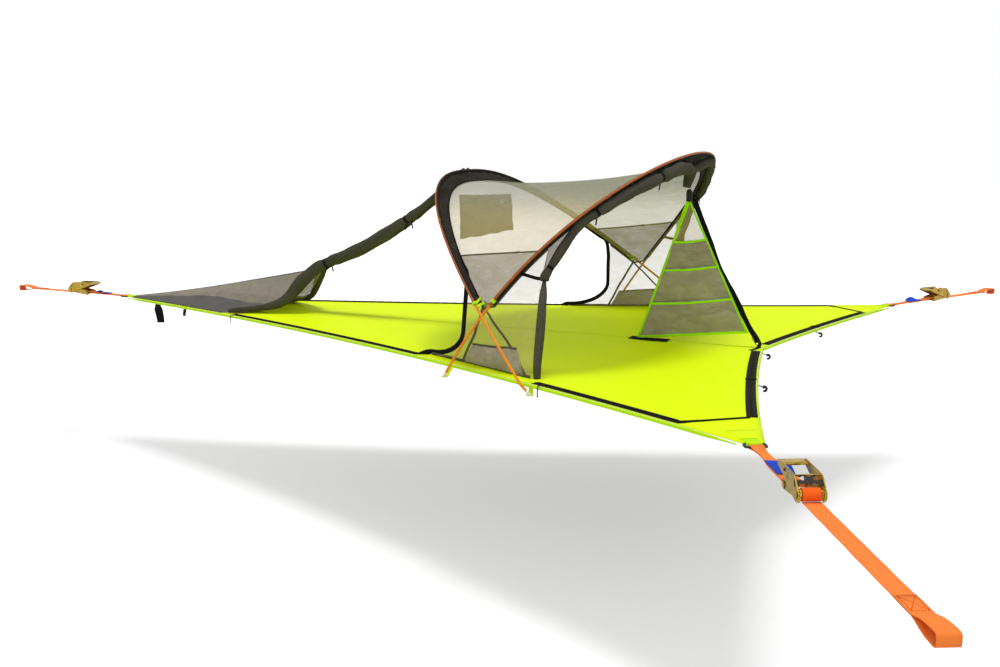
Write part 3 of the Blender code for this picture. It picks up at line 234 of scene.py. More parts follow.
def metal_material(name, colour, roughness, light=None):
    """Worn metal: patches of tone, dull spots and fine scratches."""
    g = Graph(name, colour, roughness, metallic=1.0)
    patch = g.noise(38.0, 5.0, 1.4)
    lines = g.noise(220.0, 3.0, 0.3, g.stretched(1.0, 0.15, 1.0))
    normal = g.bump(lines, 0.0004, 0.5, g.bump(patch, 0.0008, 0.4))
    colours = g.shades(patch, scaled(colour, 0.72), light or scaled(colour, 1.25))
    return g.finish(colours, g.spread(patch, roughness, 0.10, 0.14), normal)


def plastic_material(name, colour, roughness=0.45):
    """Moulded plastic with a fine grain and handling marks."""
    g = Graph(name, colour, roughness, 0.25)
    marks = g.noise(45.0, 4.0, 0.8)
    colours = g.shades(marks, scaled(colour, 0.85), scaled(colour, 1.2))
    return g.finish(colours, g.spread(marks, roughness, 0.08, 0.12), g.bump(g.noise(900.0, 2.0), 0.0002, 0.5))


LIME = cloth_material("lime_cloth", rgb(226, 254, 0), 0.6, 0.0012, vary=0.04, wrinkle=0.0025, scale=1.6)
UNDERSIDE = cloth_material("coated_underside", rgb(142, 146, 108), 0.7, 0.0012, vary=0.05, wrinkle=0.0025, scale=1.6)
LIME_WEB = webbing_material("lime_webbing", rgb(200, 252, 14), 0.72, 0.0020, 0.08)
LIME_TRIM = webbing_material("lime_trim", rgb(170, 248, 0), 0.72, 0.0018, 0.10)
BLACK_WEB = webbing_material("black_webbing", rgb(27, 25, 22), 0.85, 0.0022, 0.25)
BAND = webbing_material("base_band", rgb(40, 37, 31), 0.85, 0.0026, 0.25)
TAPE = cloth_material("grey_tape", rgb(92, 87, 72), 0.85, 0.0016, vary=0.12)
ORANGE_WEB = webbing_material("orange_webbing", rgb(255, 136, 62), 0.7, 0.0024, 0.06)
WOUND_WEB = webbing_material("wound_webbing", rgb(255, 106, 34), 0.7, 0.0024, 0.08)
# The canopy's greyer top near the ridge is painted shade.
CANOPY = mesh_material("canopy_mesh", rgb(198, 182, 120), 0.35, swing=0.045,
                       upper=(rgb(154, 154, 132), 0.55, 0.52, 0.70))
WALL = mesh_material("wall_mesh", rgb(186, 172, 116), 0.25, swing=0.05)
DART = mesh_material("dart_mesh", rgb(158, 144, 104), 0.60)
VALANCE = mesh_material("valance_mesh", rgb(48, 45, 40), 0.94, vary=0.45, wrinkle=0.006)
NET = mesh_material("net_mesh", rgb(100, 99, 96), 0.93, vary=0.14, wrinkle=0.004)
NET_THIN = mesh_material("thin_net_mesh", rgb(158, 150, 134), 0.62, vary=0.12, wrinkle=0.003)
POCKET = mesh_material("pocket_mesh", rgb(172, 164, 137), 0.80, vary=0.26, wrinkle=0.006, swing=0.16)
ROLL = cloth_material("rolled_mesh", rgb(74, 72, 60), 0.9, 0.0020, vary=0.26, wrinkle=0.006, scale=8.0)
GATHER = mesh_material("gathered_mesh", rgb(84, 80, 67), 0.90, vary=0.26, wrinkle=0.006)
SAGE = mesh_material("sage_mesh", rgb(82, 94, 108), 0.97, vary=0.10, wrinkle=0.003)
LABEL = cloth_material("blue_label", rgb(24, 70, 196), 0.6, 0.0010, vary=0.10, wrinkle=0.001)
PALE = cloth_material("pale_label", rgb(216, 210, 190), 0.7, 0.0010)
THREAD = cloth_material("lime_thread", rgb(84, 134, 10), 0.7, 0.0010)
ORANGE_THREAD = cloth_material("orange_thread", rgb(204, 68, 14), 0.7, 0.0010)
POLE = plastic_material("orange_alloy", rgb(228, 136, 0), 0.38)
# Darker copy of the pole's orange: painted shade for the pole where it runs along the dark band.
SHADED_POLE = plastic_material("shaded_orange_alloy", rgb(166, 82, 10), 0.45)
GOLD = metal_material("yellow_zinc", rgb(152, 122, 40), 0.30, rgb(196, 168, 72))
STEEL = metal_material("dark_steel", rgb(62, 60, 56), 0.4)
BLACK = plastic_material("black_plastic", rgb(24, 23, 22))
CREAM = plastic_material("cream_plastic", rgb(236, 226, 196), 0.5)


# Shared shapes

def mix(a, b, share):
    return a + (b - a) * share


def steps(start, end, count):
    """Even numbers from start to end, in this many steps."""
    return [mix(start, end, i / count) for i in range(count + 1)]


def smooth(share):
    share = min(max(share, 0.0), 1.0)
    return share * share * (3 - 2 * share)


def distances(points):
    """Distance along a line from its first point to each of its points."""
    result = [0.0]
    for a, b in zip(points, points[1:]):
        result.append(result[-1] + (b - a).length)
    return result


def even_points(points, count):
    lengths = distances(points)
    result = []
    index = 0
    for step in range(count):
        goal = lengths[-1] * step / (count - 1)
        while index < len(points) - 2 and lengths[index + 1] < goal:
            index += 1
        span = max(lengths[index + 1] - lengths[index], 1e-9)
        result.append(points[index].lerp(points[index + 1], (goal - lengths[index]) / span))
    return result


def smooth_line(points, count):
    ends = [points[0] * 2 - points[1]] + list(points) + [points[-1] * 2 - points[-2]]
    fine = []
    for before, a, b, after in zip(ends, ends[1:], ends[2:], ends[3:]):
        for step in range(12):
            t = step / 12
            fine.append(0.5 * ((2 * a) + (b - before) * t + (2 * before - 5 * a + 4 * b - after) * t ** 2
                               + (3 * a - before - 3 * b + after) * t ** 3))
    fine.append(points[-1].copy())
    return even_points(fine, count)


def line_length(points):
    return distances(points)[-1]


def tangents(points):
    last = len(points) - 1
    return [(points[min(i + 1, last)] - points[max(i - 1, 0)]).normalized() for i in range(len(points))]


def flip(points, side):
    """Near-side points for side -1, their mirror image for side +1."""
    return [vec(p[0], -p[1] * side, p[2]) for p in points]


def ripple(place, scale, seed=0.0):
    return noise.noise(vec(place[0] * scale + seed, place[1] * scale - seed, place[2] * scale + seed * 0.5))


def new_mesh(name, points, faces, material, coordinates=None, smooth_faces=True):
    data = bpy.data.meshes.new(name)
    data.from_pydata([tuple(p) for p in points], [], faces)
    if coordinates is not None:
        layer = data.uv_layers.new(name="weave")
        for loop in data.loops:
            layer.data[loop.index].uv = coordinates[loop.vertex_index]
    shape = bmesh.new()
    shape.from_mesh(data)
    bmesh.ops.recalc_face_normals(shape, faces=shape.faces)
    shape.to_mesh(data)
    shape.free()
    if smooth_faces:
        data.polygons.foreach_set("use_smooth", [True] * len(data.polygons))
    data.materials.append(material)
    obj = bpy.data.objects.new(name, data)
    bpy.context.scene.collection.objects.link(obj)
    return obj


def settle(obj, body="tent", nodes=()):
    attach(obj, body)
    if nodes:
        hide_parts(*nodes)
    return obj


def cloth(name, rows, thickness, material):
    """A sheet from rows of points, with its distances in metres kept for the weave."""
    width = len(rows[0])
    across = distances(rows[len(rows) // 2])
    along = distances([row[width // 2] for row in rows])
    coordinates = [(u, v) for v in along for u in across]
    starts = [r * width + c for r in range(len(rows) - 1) for c in range(width - 1)]
    faces = [(low, low + 1, low + width + 1, low + width) for low in starts]
    obj = new_mesh(name, [p for row in rows for p in row], faces, material, coordinates)
    solid = obj.modifiers.new("thickness", "SOLIDIFY")
    solid.thickness = thickness
    solid.offset = 0.0
    return obj


def grid_area(rows):
    area = 0.0
    for a, b in zip(rows, rows[1:]):
        for i in range(len(a) - 1):
            area += (a[i + 1] - a[i]).cross(b[i] - a[i]).length / 2
            area += (b[i + 1] - b[i]).cross(b[i + 1] - a[i + 1]).length / 2
    return area


def declare(obj, rows, extra):
    """Work out the cut size of a sheet from its own grid, a little larger where it is gathered; the size is not kept.
    """
    width = max(line_length(row) for row in rows) * extra
    length = max(line_length(column) for column in zip(*rows)) * extra
    area = min(grid_area(rows) * extra, width * length)
    area = max(area, 0.301 * width * length)
    return obj


def sheet(name, rows, material, nodes=(), extra=1.02, thickness=SHEET):
    """A cloth in its place, hiding the plain parts it stands for; its flat size is worked out but not kept."""
    obj = settle(cloth(name, rows, thickness, material), nodes=nodes)
    return declare(obj, rows, extra)


def grid(rows, columns, point):
    """Rows of points, from a function of two shares that run from 0 to 1."""
    return [[point(r / rows, c / columns) for c in range(columns + 1)] for r in range(rows + 1)]


BAND_PROFILE = [(-0.5, 0.0), (-0.485, 0.5), (-0.25, 0.52), (0.0, 0.53), (0.25, 0.52), (0.485, 0.5),
                (0.5, 0.0), (0.485, -0.5), (0.25, -0.5), (0.0, -0.5), (-0.25, -0.5), (-0.485, -0.5)]


def each(value, count):
    """A list of values as it is, or one value as often as needed."""
    return value if isinstance(value, (list, tuple)) else [value] * count


def tube_faces(rings, sides, closed):
    """Faces between rings of points, with a cap on each open end."""
    faces = []
    for i in range(rings if closed else rings - 1):
        start, after = i * sides, (i + 1) % rings * sides
        for k in range(sides):
            turn = (k + 1) % sides
            faces.append((start + k, start + turn, after + turn, after + k))
    if not closed:
        faces.append(tuple(range(sides)))
        faces.append(tuple(reversed(range((rings - 1) * sides, rings * sides))))
    return faces


def band(name, path, widths, across, thickness, material, closed=False, crown=0.0):
    """Webbing along a path, with rounded edges and a slight crown."""
    count = len(path)
    ways = tangents(path)
    if closed:
        ways[0] = (path[1] - path[-1]).normalized()
        ways[-1] = (path[0] - path[-2]).normalized()
    points, coordinates = [], []
    rings = zip(path, each(widths, count), each(across, count), each(crown, count), ways, distances(path))
    for place, width, side, lift, way, length in rings:
        up = side.cross(way).normalized()
        if not closed and up.z < -0.2:
            up = -up
        for u, v in BAND_PROFILE:
            height = v * thickness + lift * (1 - 4 * u * u)
            points.append(place + side.normalized() * (u * width) + up * height)
            coordinates.append((u * width, length))
    return new_mesh(name, points, tube_faces(count, len(BAND_PROFILE), closed), material, coordinates)


def loft(name, path, radii, material, sides, shape=None, closed=False):
    """A round piece along a path; shape(i, angle) changes the radius round each ring."""
    ways = tangents(path)
    normal = ways[0].orthogonal().normalized()
    points, coordinates = [], []
    rings = zip(path, ways, each(radii, len(path)), distances(path))
    for i, (place, way, radius, length) in enumerate(rings):
        normal = (normal - way * normal.dot(way)).normalized()
        other = way.cross(normal)
        for k in range(sides):
            angle = tau * k / sides
            size = radius * (shape(i, angle) if shape else 1.0)
            points.append(place + (normal * cos(angle) + other * sin(angle)) * size)
            coordinates.append((radius * angle, length))
    return new_mesh(name, points, tube_faces(len(path), sides, closed), material, coordinates)


def joined(name, pieces):
    """Several meshes as one piece, each keeping its own material."""
    view = bpy.context.view_layer
    for obj in view.objects:
        obj.select_set(obj in pieces)
    view.objects.active = pieces[0]
    with bpy.context.temp_override(active_object=pieces[0], selected_editable_objects=pieces):
        bpy.ops.object.join()
    pieces[0].name = name
    return pieces[0]


def dress(name, pieces, slot, *nodes):
    """Several meshes as one piece in its place on the tent."""
    return settle(joined(name, pieces), nodes=nodes)


def stitches(name, line, up, length=0.004, gap=0.003, radius=0.0005, material=None):
    """A row of thread stitches just above a line."""
    count = max(int(line_length(line) / (length + gap)), 1)
    places = even_points(line, count * 2 + 1)
    points, faces = [], []
    for a, b in zip(places[::2], places[1::2]):
        way = (b - a).normalized()
        side = way.cross(up).normalized() * radius
        base = len(points)
        end = a + way * length
        middle = (a + end) / 2 + up * radius * 1.6
        points += [a - side, a + side, middle - side, middle + side, end - side, end + side]
        faces += [(base, base + 1, base + 3, base + 2), (base + 2, base + 3, base + 5, base + 4)]
    obj = new_mesh(name, points, faces, material or THREAD, [(p[0], p[1]) for p in points])
    obj.modifiers.new("thickness", "SOLIDIFY").thickness = radius
    return obj


# Outline of the floor and the arches, as in the plain model

class EdgeArc:
    """An edge of the floor, drawn in towards the middle between its two ends."""

    def __init__(self, start, end, sag, inside):
        self.start, self.end = start, end
        chord = end - start
        self.radius = chord.length ** 2 / (8 * sag) + sag / 2
        normal = vec(-chord.y, chord.x).normalized()
        if (inside - start).dot(normal) < 0:
            normal = -normal
        self.centre = (start + end) / 2 + normal * (sag - self.radius)

    def point(self, share, inset=0.0):
        a = self.start - self.centre
        b = self.end - self.centre
        turn = atan2(a.x * b.y - a.y * b.x, a.dot(b)) * share
        way = vec(a.x * cos(turn) - a.y * sin(turn), a.x * sin(turn) + a.y * cos(turn))
        return self.centre + way.normalized() * (self.radius + inset)

    def outward(self, place):
        return (self.centre - place).normalized()

    def solve(self, value, inset, part):
        low, high = -0.2, 1.2
        for _ in range(50):
            middle = (low + high) / 2
            if part(self.point(middle, inset)) < value:
                low = middle
            else:
                high = middle
        return self.point(low, inset)

    def at_x(self, x, inset=0.0):
        return self.solve(x, inset, lambda p: p.x)

    def at_y(self, y, inset):
        return self.solve(y, inset, lambda p: abs(p.y))


SIDES = {-1: "near", 1: "far"}
CORNER = vec(3.970, 1.531)
CORNER_ANGLE = radians(61.4)
CORNER_HALF = 0.035
REAR_MIDDLE = 3.650
LONG_SAG, BASE_SAG = 0.140, 0.022
EDGE_TILT = radians(75)
LONG, BASE = {}, {}
for side in SIDES:
    lateral = vec(sin(CORNER_ANGLE), -side * cos(CORNER_ANGLE)) * CORNER_HALF
    centre = vec(CORNER.x, side * CORNER.y)
    inside = vec(2.382, 0.0)
    LONG[side] = EdgeArc(vec(0.0, side * CORNER_HALF), centre - lateral, LONG_SAG, inside)
    BASE[side] = EdgeArc(vec(REAR_MIDDLE, 0.0), centre + lateral, BASE_SAG, inside)
CORNERS = {"front": (vec(0.0, 0.0), pi, 0.315, 0.770),
           "near": (vec(CORNER.x, -CORNER.y), -CORNER_ANGLE, 0.410, 1.210),
           "far": (CORNER, CORNER_ANGLE, 0.410, 0.920)}


def wrinkles(x, y):
    """Height of the stretched floor: a shallow sag in the middle and folds that fan out from the corners."""
    height = 0.0
    for name, turn in (("near", 2.08), ("far", -2.08), ("front", 0.0)):
        dx, dy = x - CORNERS[name][0].x, y - CORNERS[name][0].y
        reach = hypot(dx, dy)
        angle = atan2(dy, dx) - turn
        fade = smooth(reach / 0.10) * exp(-reach / 0.42)
        height += 0.0050 * fade * sin(angle * 17 + 2.0 * ripple((x, y, 0.0), 1.3, 4.0))
    return height + 0.0022 * ripple((x * 0.35, y, 0.0), 3.2, 9.0)


def rim_share(x, y):
    """0 at the floor's rim, 1 well inside it."""
    room = abs(LONG[-1].at_x(min(max(x, 0.001), 3.9)).y) - abs(y)
    rear = REAR_MIDDLE + 0.180 * abs(y) / 1.53 - x
    return smooth(min(room, rear) / 0.16)


def ground(x, y):
    return wrinkles(x, y) * rim_share(x, y)


def on_floor(place, height=0.0):
    """A place on the floor's wrinkled surface, or this high above it."""
    return vec(TIP + place.x, place.y, height + ground(place.x, place.y))


class Arch:
    """A pole's curve in its leaning plane, from its place along and its half width at each height."""

    def __init__(self, foot_x, height, half_width, lean, sweep, power, root):
        self.foot_x, self.height, self.half_width = foot_x, height, half_width
        self.lean, self.sweep, self.power, self.root = lean, sweep, power, root

    def x(self, z):
        t = z / self.height
        return self.foot_x + self.height * (self.lean * t + self.sweep * t * t)

    def half(self, z):
        t = min(max(z / self.height, 0.0), 1.0)
        return self.half_width * (1 - t ** self.power) ** (1 / self.root)

    def point(self, z):
        return vec(TIP + self.x(z), -self.half(z), z)

    def line(self, low, count):
        near = [self.point(mix(low, self.height, sin(pi / 2 * i / 400))) for i in range(400)]
        return even_points(near + [self.apex()] + flip(near[::-1], 1), count)

    def apex(self):
        return vec(TIP + self.x(self.height), 0.0, self.height)

    def inner(self, z, depth, step=0.004):
        """A place this deep inside the arch."""
        place = [self.point(height) for height in (z - step, z, z + step)]
        return place[1] + self.inward(place)[1] * depth

    def across(self, z):
        slope = self.lean + 2 * self.sweep * z / self.height
        return vec(1.0, 0.0, -slope).normalized()

    def inward(self, points):
        middle = vec(TIP + self.foot_x, 0.0, 0.0)
        result = []
        for p, along in zip(points, tangents(points)):
            way = self.across(p.z).cross(along).normalized()
            result.append(way if way.dot(middle - p) > 0 else -way)
        return result


FRONT = Arch(3.005, 0.749, 1.112, -1.065, 0.0, 1.0, 2.55)
REAR = Arch(2.620, 0.839, 1.0, 0.600, 0.277, 3.3, 2.0)
low, high = 0.0, FRONT.height
for _ in range(60):
    crossing = (low + high) / 2
    low, high = (crossing, high) if REAR.x(crossing) < FRONT.x(crossing) else (low, crossing)
REAR.half_width = (FRONT.half(crossing) - 0.0118) / (1 - (crossing / REAR.height) ** REAR.power) ** (1 / REAR.root)
POLE_RADIUS = 0.0055
POLE_FOOT = -0.034
SLEEVE = 0.010
LEG = 0.040
BAND_START = 0.262
FRONT_BAND, REAR_BAND = 0.062, 0.074


# Floor

CORNER_CUT = 0.022
ON_FLOOR = 0.0014


def floor_point(s, t):
    """Flat place on the floor: s runs from the tip to the rear rim, t from the near rim to the far one."""
    low, high = LONG[-1].point(1.0), LONG[1].point(1.0)
    if t < CORNER_CUT:
        rear = low.lerp(BASE[-1].point(1.0), t / CORNER_CUT)
    elif t > 1 - CORNER_CUT:
        rear = high.lerp(BASE[1].point(1.0), (1 - t) / CORNER_CUT)
    else:
        rear = BASE[-1 if t < 0.5 else 1].point(abs(t - 0.5) / (0.5 - CORNER_CUT))
    return LONG[-1].point(s).lerp(LONG[1].point(s), t) + (rear - low.lerp(high, t)) * s ** 2.2


def make_floor():
    across = [0.0, CORNER_CUT / 2] + steps(CORNER_CUT, 1 - CORNER_CUT, 76) + [1 - CORNER_CUT / 2, 1.0]
    rows = [[on_floor(floor_point(i / 110, t)) for t in across] for i in range(111)]
    floor = sheet("floor_cloth", rows, UNDERSIDE, ["floor_panel"],
                  extra=1.0, thickness=0.0010)
    floor.data.materials.append(LIME)
    floor.modifiers["thickness"].material_offset = 1


make_floor()


# Poles

def make_pole(name, arch):
    line = arch.line(POLE_FOOT, 361)
    tube = loft(name + "_tube", line, POLE_RADIUS, POLE, 14)
    tube.data.materials.append(SHADED_POLE)
    # Faces above the band's start take the darker copy, which is painted shade.
    for face in tube.data.polygons:
        face.material_index = int(face.center.z > BAND_START)
    pieces = [tube]
    for i in range(1, 7):
        # Ferrules above the band's start take the same painted shade.
        middle = len(line) * i // 7
        shade = SHADED_POLE if line[middle].z > BAND_START else POLE
        pieces.append(loft(name + "_ferrule", line[middle - 1:middle + 2], 0.0063, shade, 14))
    for end in (line[:3], line[::-1][:3]):
        way = (end[0] - end[2]).normalized()
        ball = [end[0] + way * d for d in (-0.016, -0.014, -0.006, -0.004, -0.001, 0.003, 0.006, 0.0075)]
        radii = [0.0060, 0.0066, 0.0066, 0.0052, 0.0060, 0.0074, 0.0062, 0.0030]
        pieces.append(loft(name + "_tip", ball, radii, CREAM, 16))
    dress(name + "_dressed", pieces, "pole", name + "_pole")
    # Dark mesh sleeve over the pole along the band: partly the pole's real sleeve, partly a dark cover that darkens the
    # pole as painted shade.
    covered = [p + way * 0.0020 for p, way in zip(line, arch.inward(line)) if p.z > BAND_START]
    settle(loft(name + "_sleeve", covered, 0.0069, VALANCE, 16))


make_pole("front", FRONT)
make_pole("rear", REAR)


# Dark bands along the arches

def band_edges(arch, apex_width, low, count):
    """Outer and inner edge of the dark band inside an arch."""
    outer = arch.line(low, count)
    ways = arch.inward(outer)
    rise = arch.height - low
    near_edge = [p + w * SLEEVE for p, w in zip(outer, ways)]
    widths = [mix(LEG, apex_width, smooth((p.z - low) / rise)) for p in outer]
    far_edge = [p + w * (SLEEVE + width) for p, w, width in zip(outer, ways, widths)]
    return near_edge, far_edge


def make_valance(name, arch, apex_width, seed):
    outer, inner = band_edges(arch, apex_width, BAND_START, 181)
    rows = []
    for i, (a, b) in enumerate(zip(outer, inner)):
        row = []
        for k in range(7):
            t = k / 6
            p = a.lerp(b, t)
            quilt = 0.0050 * sin(i * 0.85 + seed) * sin(t * tau + i * 0.42)
            lift = (quilt + 0.004 * ripple(p, 9.0, seed)) * sin(pi * t)
            row.append(p + arch.across(a.z) * lift)
        rows.append(row)
    for label, line, drift in (("outer", outer, 0.002), ("inner", inner, -0.002)):
        ways = arch.inward(line)
        path = [p + w * drift for p, w in zip(line, ways)]
        hem = band(name + "_valance_" + label + "_hem", path, 0.010, ways, 0.0022, BLACK_WEB)
        settle(hem)
    sheet(name + "_valance_cloth", rows, VALANCE,
          [name + "_valance"], thickness=0.0010)


make_valance("front", FRONT, FRONT_BAND, 1.0)
make_valance("rear", REAR, REAR_BAND, 5.0)


# Canopy

CANOPY_SAG = 0.036


def canopy_rows(count, columns):
    """Places on the canopy: rows run from the front arch to the rear one and sag between them."""
    front = band_edges(FRONT, FRONT_BAND, BAND_START, count)[1]
    rear = band_edges(REAR, REAR_BAND, BAND_START, count)[1]
    rows = []
    for a, b in zip(front, rear):
        way = (b - a).normalized() * 0.0014
        sag = 4 * CANOPY_SAG * smooth((b - a).length / REAR.height)
        row = []
        for c in range(columns + 1):
            t = c / columns
            p = (a + way).lerp(b - way, t)
            row.append(p + vec(0.0, -p.y, -p.z).normalized() * (sag * t * (1 - t)))
        rows.append(row)
    return rows


def dart_height(share):
    """Height of the seam below which the canopy's mesh is denser."""
    return mix(0.423, 0.469, share)


def make_canopy():
    rows = canopy_rows(121, 32)
    columns = len(rows[0]) - 1
    for r, row in enumerate(rows):
        for c in range(1, columns):
            p = row[c]
            edge = min(c, columns - c) / columns
            pull = 0.0030 * exp(-edge / 0.10) * sin(r * 0.9 + ripple(p, 3.0) * 3)
            slack = 0.004 * ripple((p.x * 0.6, p.y, p.z * 0.6), 4.0, 2.0)
            inwards = vec(0.0, -p.y, -p.z).normalized()
            row[c] = p + inwards * ((pull + slack) * smooth(edge / 0.04))
    seams = [band("ridge_seam", [p + Z * 0.0012 for p in rows[len(rows) // 2]], 0.010, Y, 0.0008, TAPE)]
    for side in SIDES:
        line = []
        for c in range(columns + 1):
            goal = dart_height(c / columns)
            column = [row[c] for row in rows[:61]]
            r = max(i for i in range(60) if column[i].z < goal)
            share = (goal - column[r].z) / (column[r + 1].z - column[r].z)
            line.append(column[r].lerp(column[r + 1], share) - Y * 0.0012)
        seams.append(band("dart_seam_" + SIDES[side], flip(line, side), 0.007, Z, 0.0008, TAPE))
    for seam in seams:
        settle(seam)
    canopy = sheet("canopy_cloth", rows, CANOPY,
                   ["canopy_near", "canopy_far"])
    canopy.data.materials.append(DART)
    for face in canopy.data.polygons:
        t = (face.index % columns + 0.5) / columns
        face.material_index = int(face.center.z < dart_height(t))


make_canopy()


# Side walls with their seams and pockets

DOOR_START, WALL_END = 2.430, 3.000
DOOR_LENGTH, DOOR_RISE = 0.200, 0.130
BASE_INSET = 0.023


def arch_inner_point(arch, height):
    return arch.inner(height, SLEEVE + LEG, arch.height / 200)


def wall_point(x, z):
    """Place on the near wall's plane, which leans in a little as it rises."""
    foot = LONG[-1].at_x(x, 0.058)
    lift = ground(x, foot.y) * (1 - smooth(z / 0.08))
    return vec(TIP + x, foot.y + 0.056 * z, z + lift)


def door_curve_place(turn):
    return vec(DOOR_START + DOOR_LENGTH * sin(turn), 0.005 + DOOR_RISE * (1 - cos(turn)))


def inner_side(arch, height, aside):
    """A place just below the inner side of an arch's dark band."""
    return arch_inner_point(arch, height) + arch.across(height) * aside - Z * 0.0015


def wall_upper():
    """Upper edge of the near wall: the front door's curve, the crossing of the poles and the rear arch."""
    curve = [door_curve_place(turn) for turn in steps(0.0, pi / 2, 14)]
    points = [wall_point(place.x, place.y) for place in curve]
    front = [inner_side(FRONT, BAND_START * share, -0.0025) for share in (1.38, 1.31, 1.25, 1.18, 1.12, 1.06, 1.00)]
    rear = [inner_side(REAR, height, 0.0025) for height in steps(BAND_START, 0.500, 12)]
    link = [points[-1].lerp(front[0], share) for share in (0.25, 0.5, 0.75)]
    return points + link + front + rear


UPPER = wall_upper()


def wall_grid():
    columns = []
    for i, top in enumerate(UPPER):
        foot = wall_point(mix(DOOR_START, WALL_END, i / (len(UPPER) - 1)), 0.0012)
        column = []
        for k in range(17):
            share = k / 16
            p = foot.lerp(top, share)
            fold = 0.0035 * sin(i * 1.1 + share * 3) + 0.006 * ripple(p, 6.0, 3.0)
            column.append(p + Y * (fold * sin(pi * share)))
        columns.append(column)
    return columns


def on_wall(columns, x, z, out):
    """The wall's place at x and z, blended from the points around."""
    depth = 0.0
    weight = 0.0
    for column in columns:
        for p in column:
            w = 1.0 / ((p.x - TIP - x) ** 2 + (p.z - z) ** 2 + 2e-5) ** 2
            depth += p.y * w
            weight += w
    return vec(TIP + x, depth / weight - out, z)


def make_wall(side):
    label = SIDES[side]
    columns = wall_grid()
    cross = UPPER[24]
    seams = []
    for name, x in (("front", 2.62), ("rear", 2.975)):
        line = [on_wall(columns, mix(cross.x - TIP, x, k / 24), mix(cross.z, 0.004, k / 24), 0.0016)
                for k in range(25)]
        seams.append(band("wall_seam_%s_%s" % (name, label), flip(line, side), 0.013, X, 0.0008, TAPE))
    foot = [column[0] + vec(0.0, -0.0010, 0.006) for column in columns]
    top = [p + vec(0.0, -0.0008, -0.003) for p in UPPER[18:]]
    for name, line, width in (("foot", foot, 0.012), ("top", top, 0.010)):
        seams.append(band("wall_%s_%s" % (name, label), flip(line, side), width, Z, 0.0010, TAPE))
    for seam in seams:
        settle(seam)
    sheet("wall_cloth_" + label, [flip(column, side) for column in columns], WALL,
          ["side_wall_" + label])

    def pocket_point(share, t):
        x = mix(mix(2.632, 2.673, share), mix(2.962, 2.915, share), t)
        z = mix(0.006, mix(0.083, 0.100, t), share)
        belly = sin(pi * t) * sin(pi * min(share * 0.9 + 0.1, 1.0))
        fold = 0.006 * ripple((x, z * 3, 0.0), 22.0, 7.0) + 0.003 * sin(x * 120 + z * 60)
        return on_wall(columns, x, z, 0.0030 + (0.007 + fold) * belly)

    rows = [flip(row, side) for row in grid(12, 32, pocket_point)]
    sheet("wall_pocket_" + label, rows, POCKET, extra=1.04)
    rim = [p + Y * (side * 0.0012) for p in rows[-1]]
    settle(band("pocket_rim_" + label, rim, 0.009, Z, 0.0012, TAPE))


for side in SIDES:
    make_wall(side)


# Zips

ZIP_WIDE, ZIP_NARROW, BASE_BAND = 0.034, 0.020, 0.038


def zip_line(edge, inset, start_x, end_x, count):
    return [on_floor(edge.at_x(x, inset), ON_FLOOR) for x in steps(start_x, end_x, count - 1)]


def zip_coil(name, path, lift, radius):
    """Zip teeth as a fine coil just above the tape."""
    def teeth(i, angle):
        return 1.0 + 0.12 * sin(i * 2.6)

    return loft(name, [p + Z * lift for p in path], radius, BLACK_WEB, 8, teeth)


def make_front_zip(side):
    edge = LONG[-1]
    path = zip_line(edge, 0.024, 0.985, 2.370, 70)
    outs = [edge.outward(vec(p.x - TIP, p.y)) for p in path]
    across = [vec(out.x, out.y, 0.0) for out in outs]
    widths = [ZIP_WIDE] * len(path)
    rise, normals = [], []
    for turn in steps(0.0, pi / 2, 14):
        normal = vec(-DOOR_RISE * sin(turn), DOOR_LENGTH * cos(turn)).normalized()
        place = door_curve_place(turn) + normal * 0.0100
        rise.append(wall_point(place.x, place.y))
        normals.append(vec(normal.x, 0.0, normal.y))
    start, flat = path[-1], across[-1]
    for share in [i / 8 for i in range(1, 8)]:
        path.append(start.lerp(rise[0], share) + Z * 0.004 * share * (1 - share))
        across.append(flat.lerp(Z, share).normalized())
        widths.append(mix(ZIP_WIDE, ZIP_NARROW, share))
    top = UPPER[18] - X * 0.0100
    climb = [rise[-1].lerp(top, share) for share in (0.0, 0.25, 0.5, 0.75)]
    for z in (0.375, 0.405, 0.435, 0.460):
        climb.append(arch_inner_point(FRONT, z) + FRONT.across(z) * 0.003 - vec(0.007, -0.003, 0.0))
    climb = smooth_line(climb, 24)
    path += rise + climb[1:]
    across += normals + [vec(-way.z, 0.0, way.x).normalized() for way in tangents(climb)[1:]]
    widths += [ZIP_NARROW] * (len(path) - len(widths))
    label = SIDES[side]
    path = flip(path, side)
    tape = band("front_zip_tape_" + label, path, widths, flip(across, side), 0.0014, BLACK_WEB)
    coil = zip_coil("front_zip_coil_" + label, path[:76], 0.0012, 0.0019 if side < 0 else 0.0042)
    dress("front_zip_" + label, [tape, coil], "black_webbing", "front_door_zip_" + label)


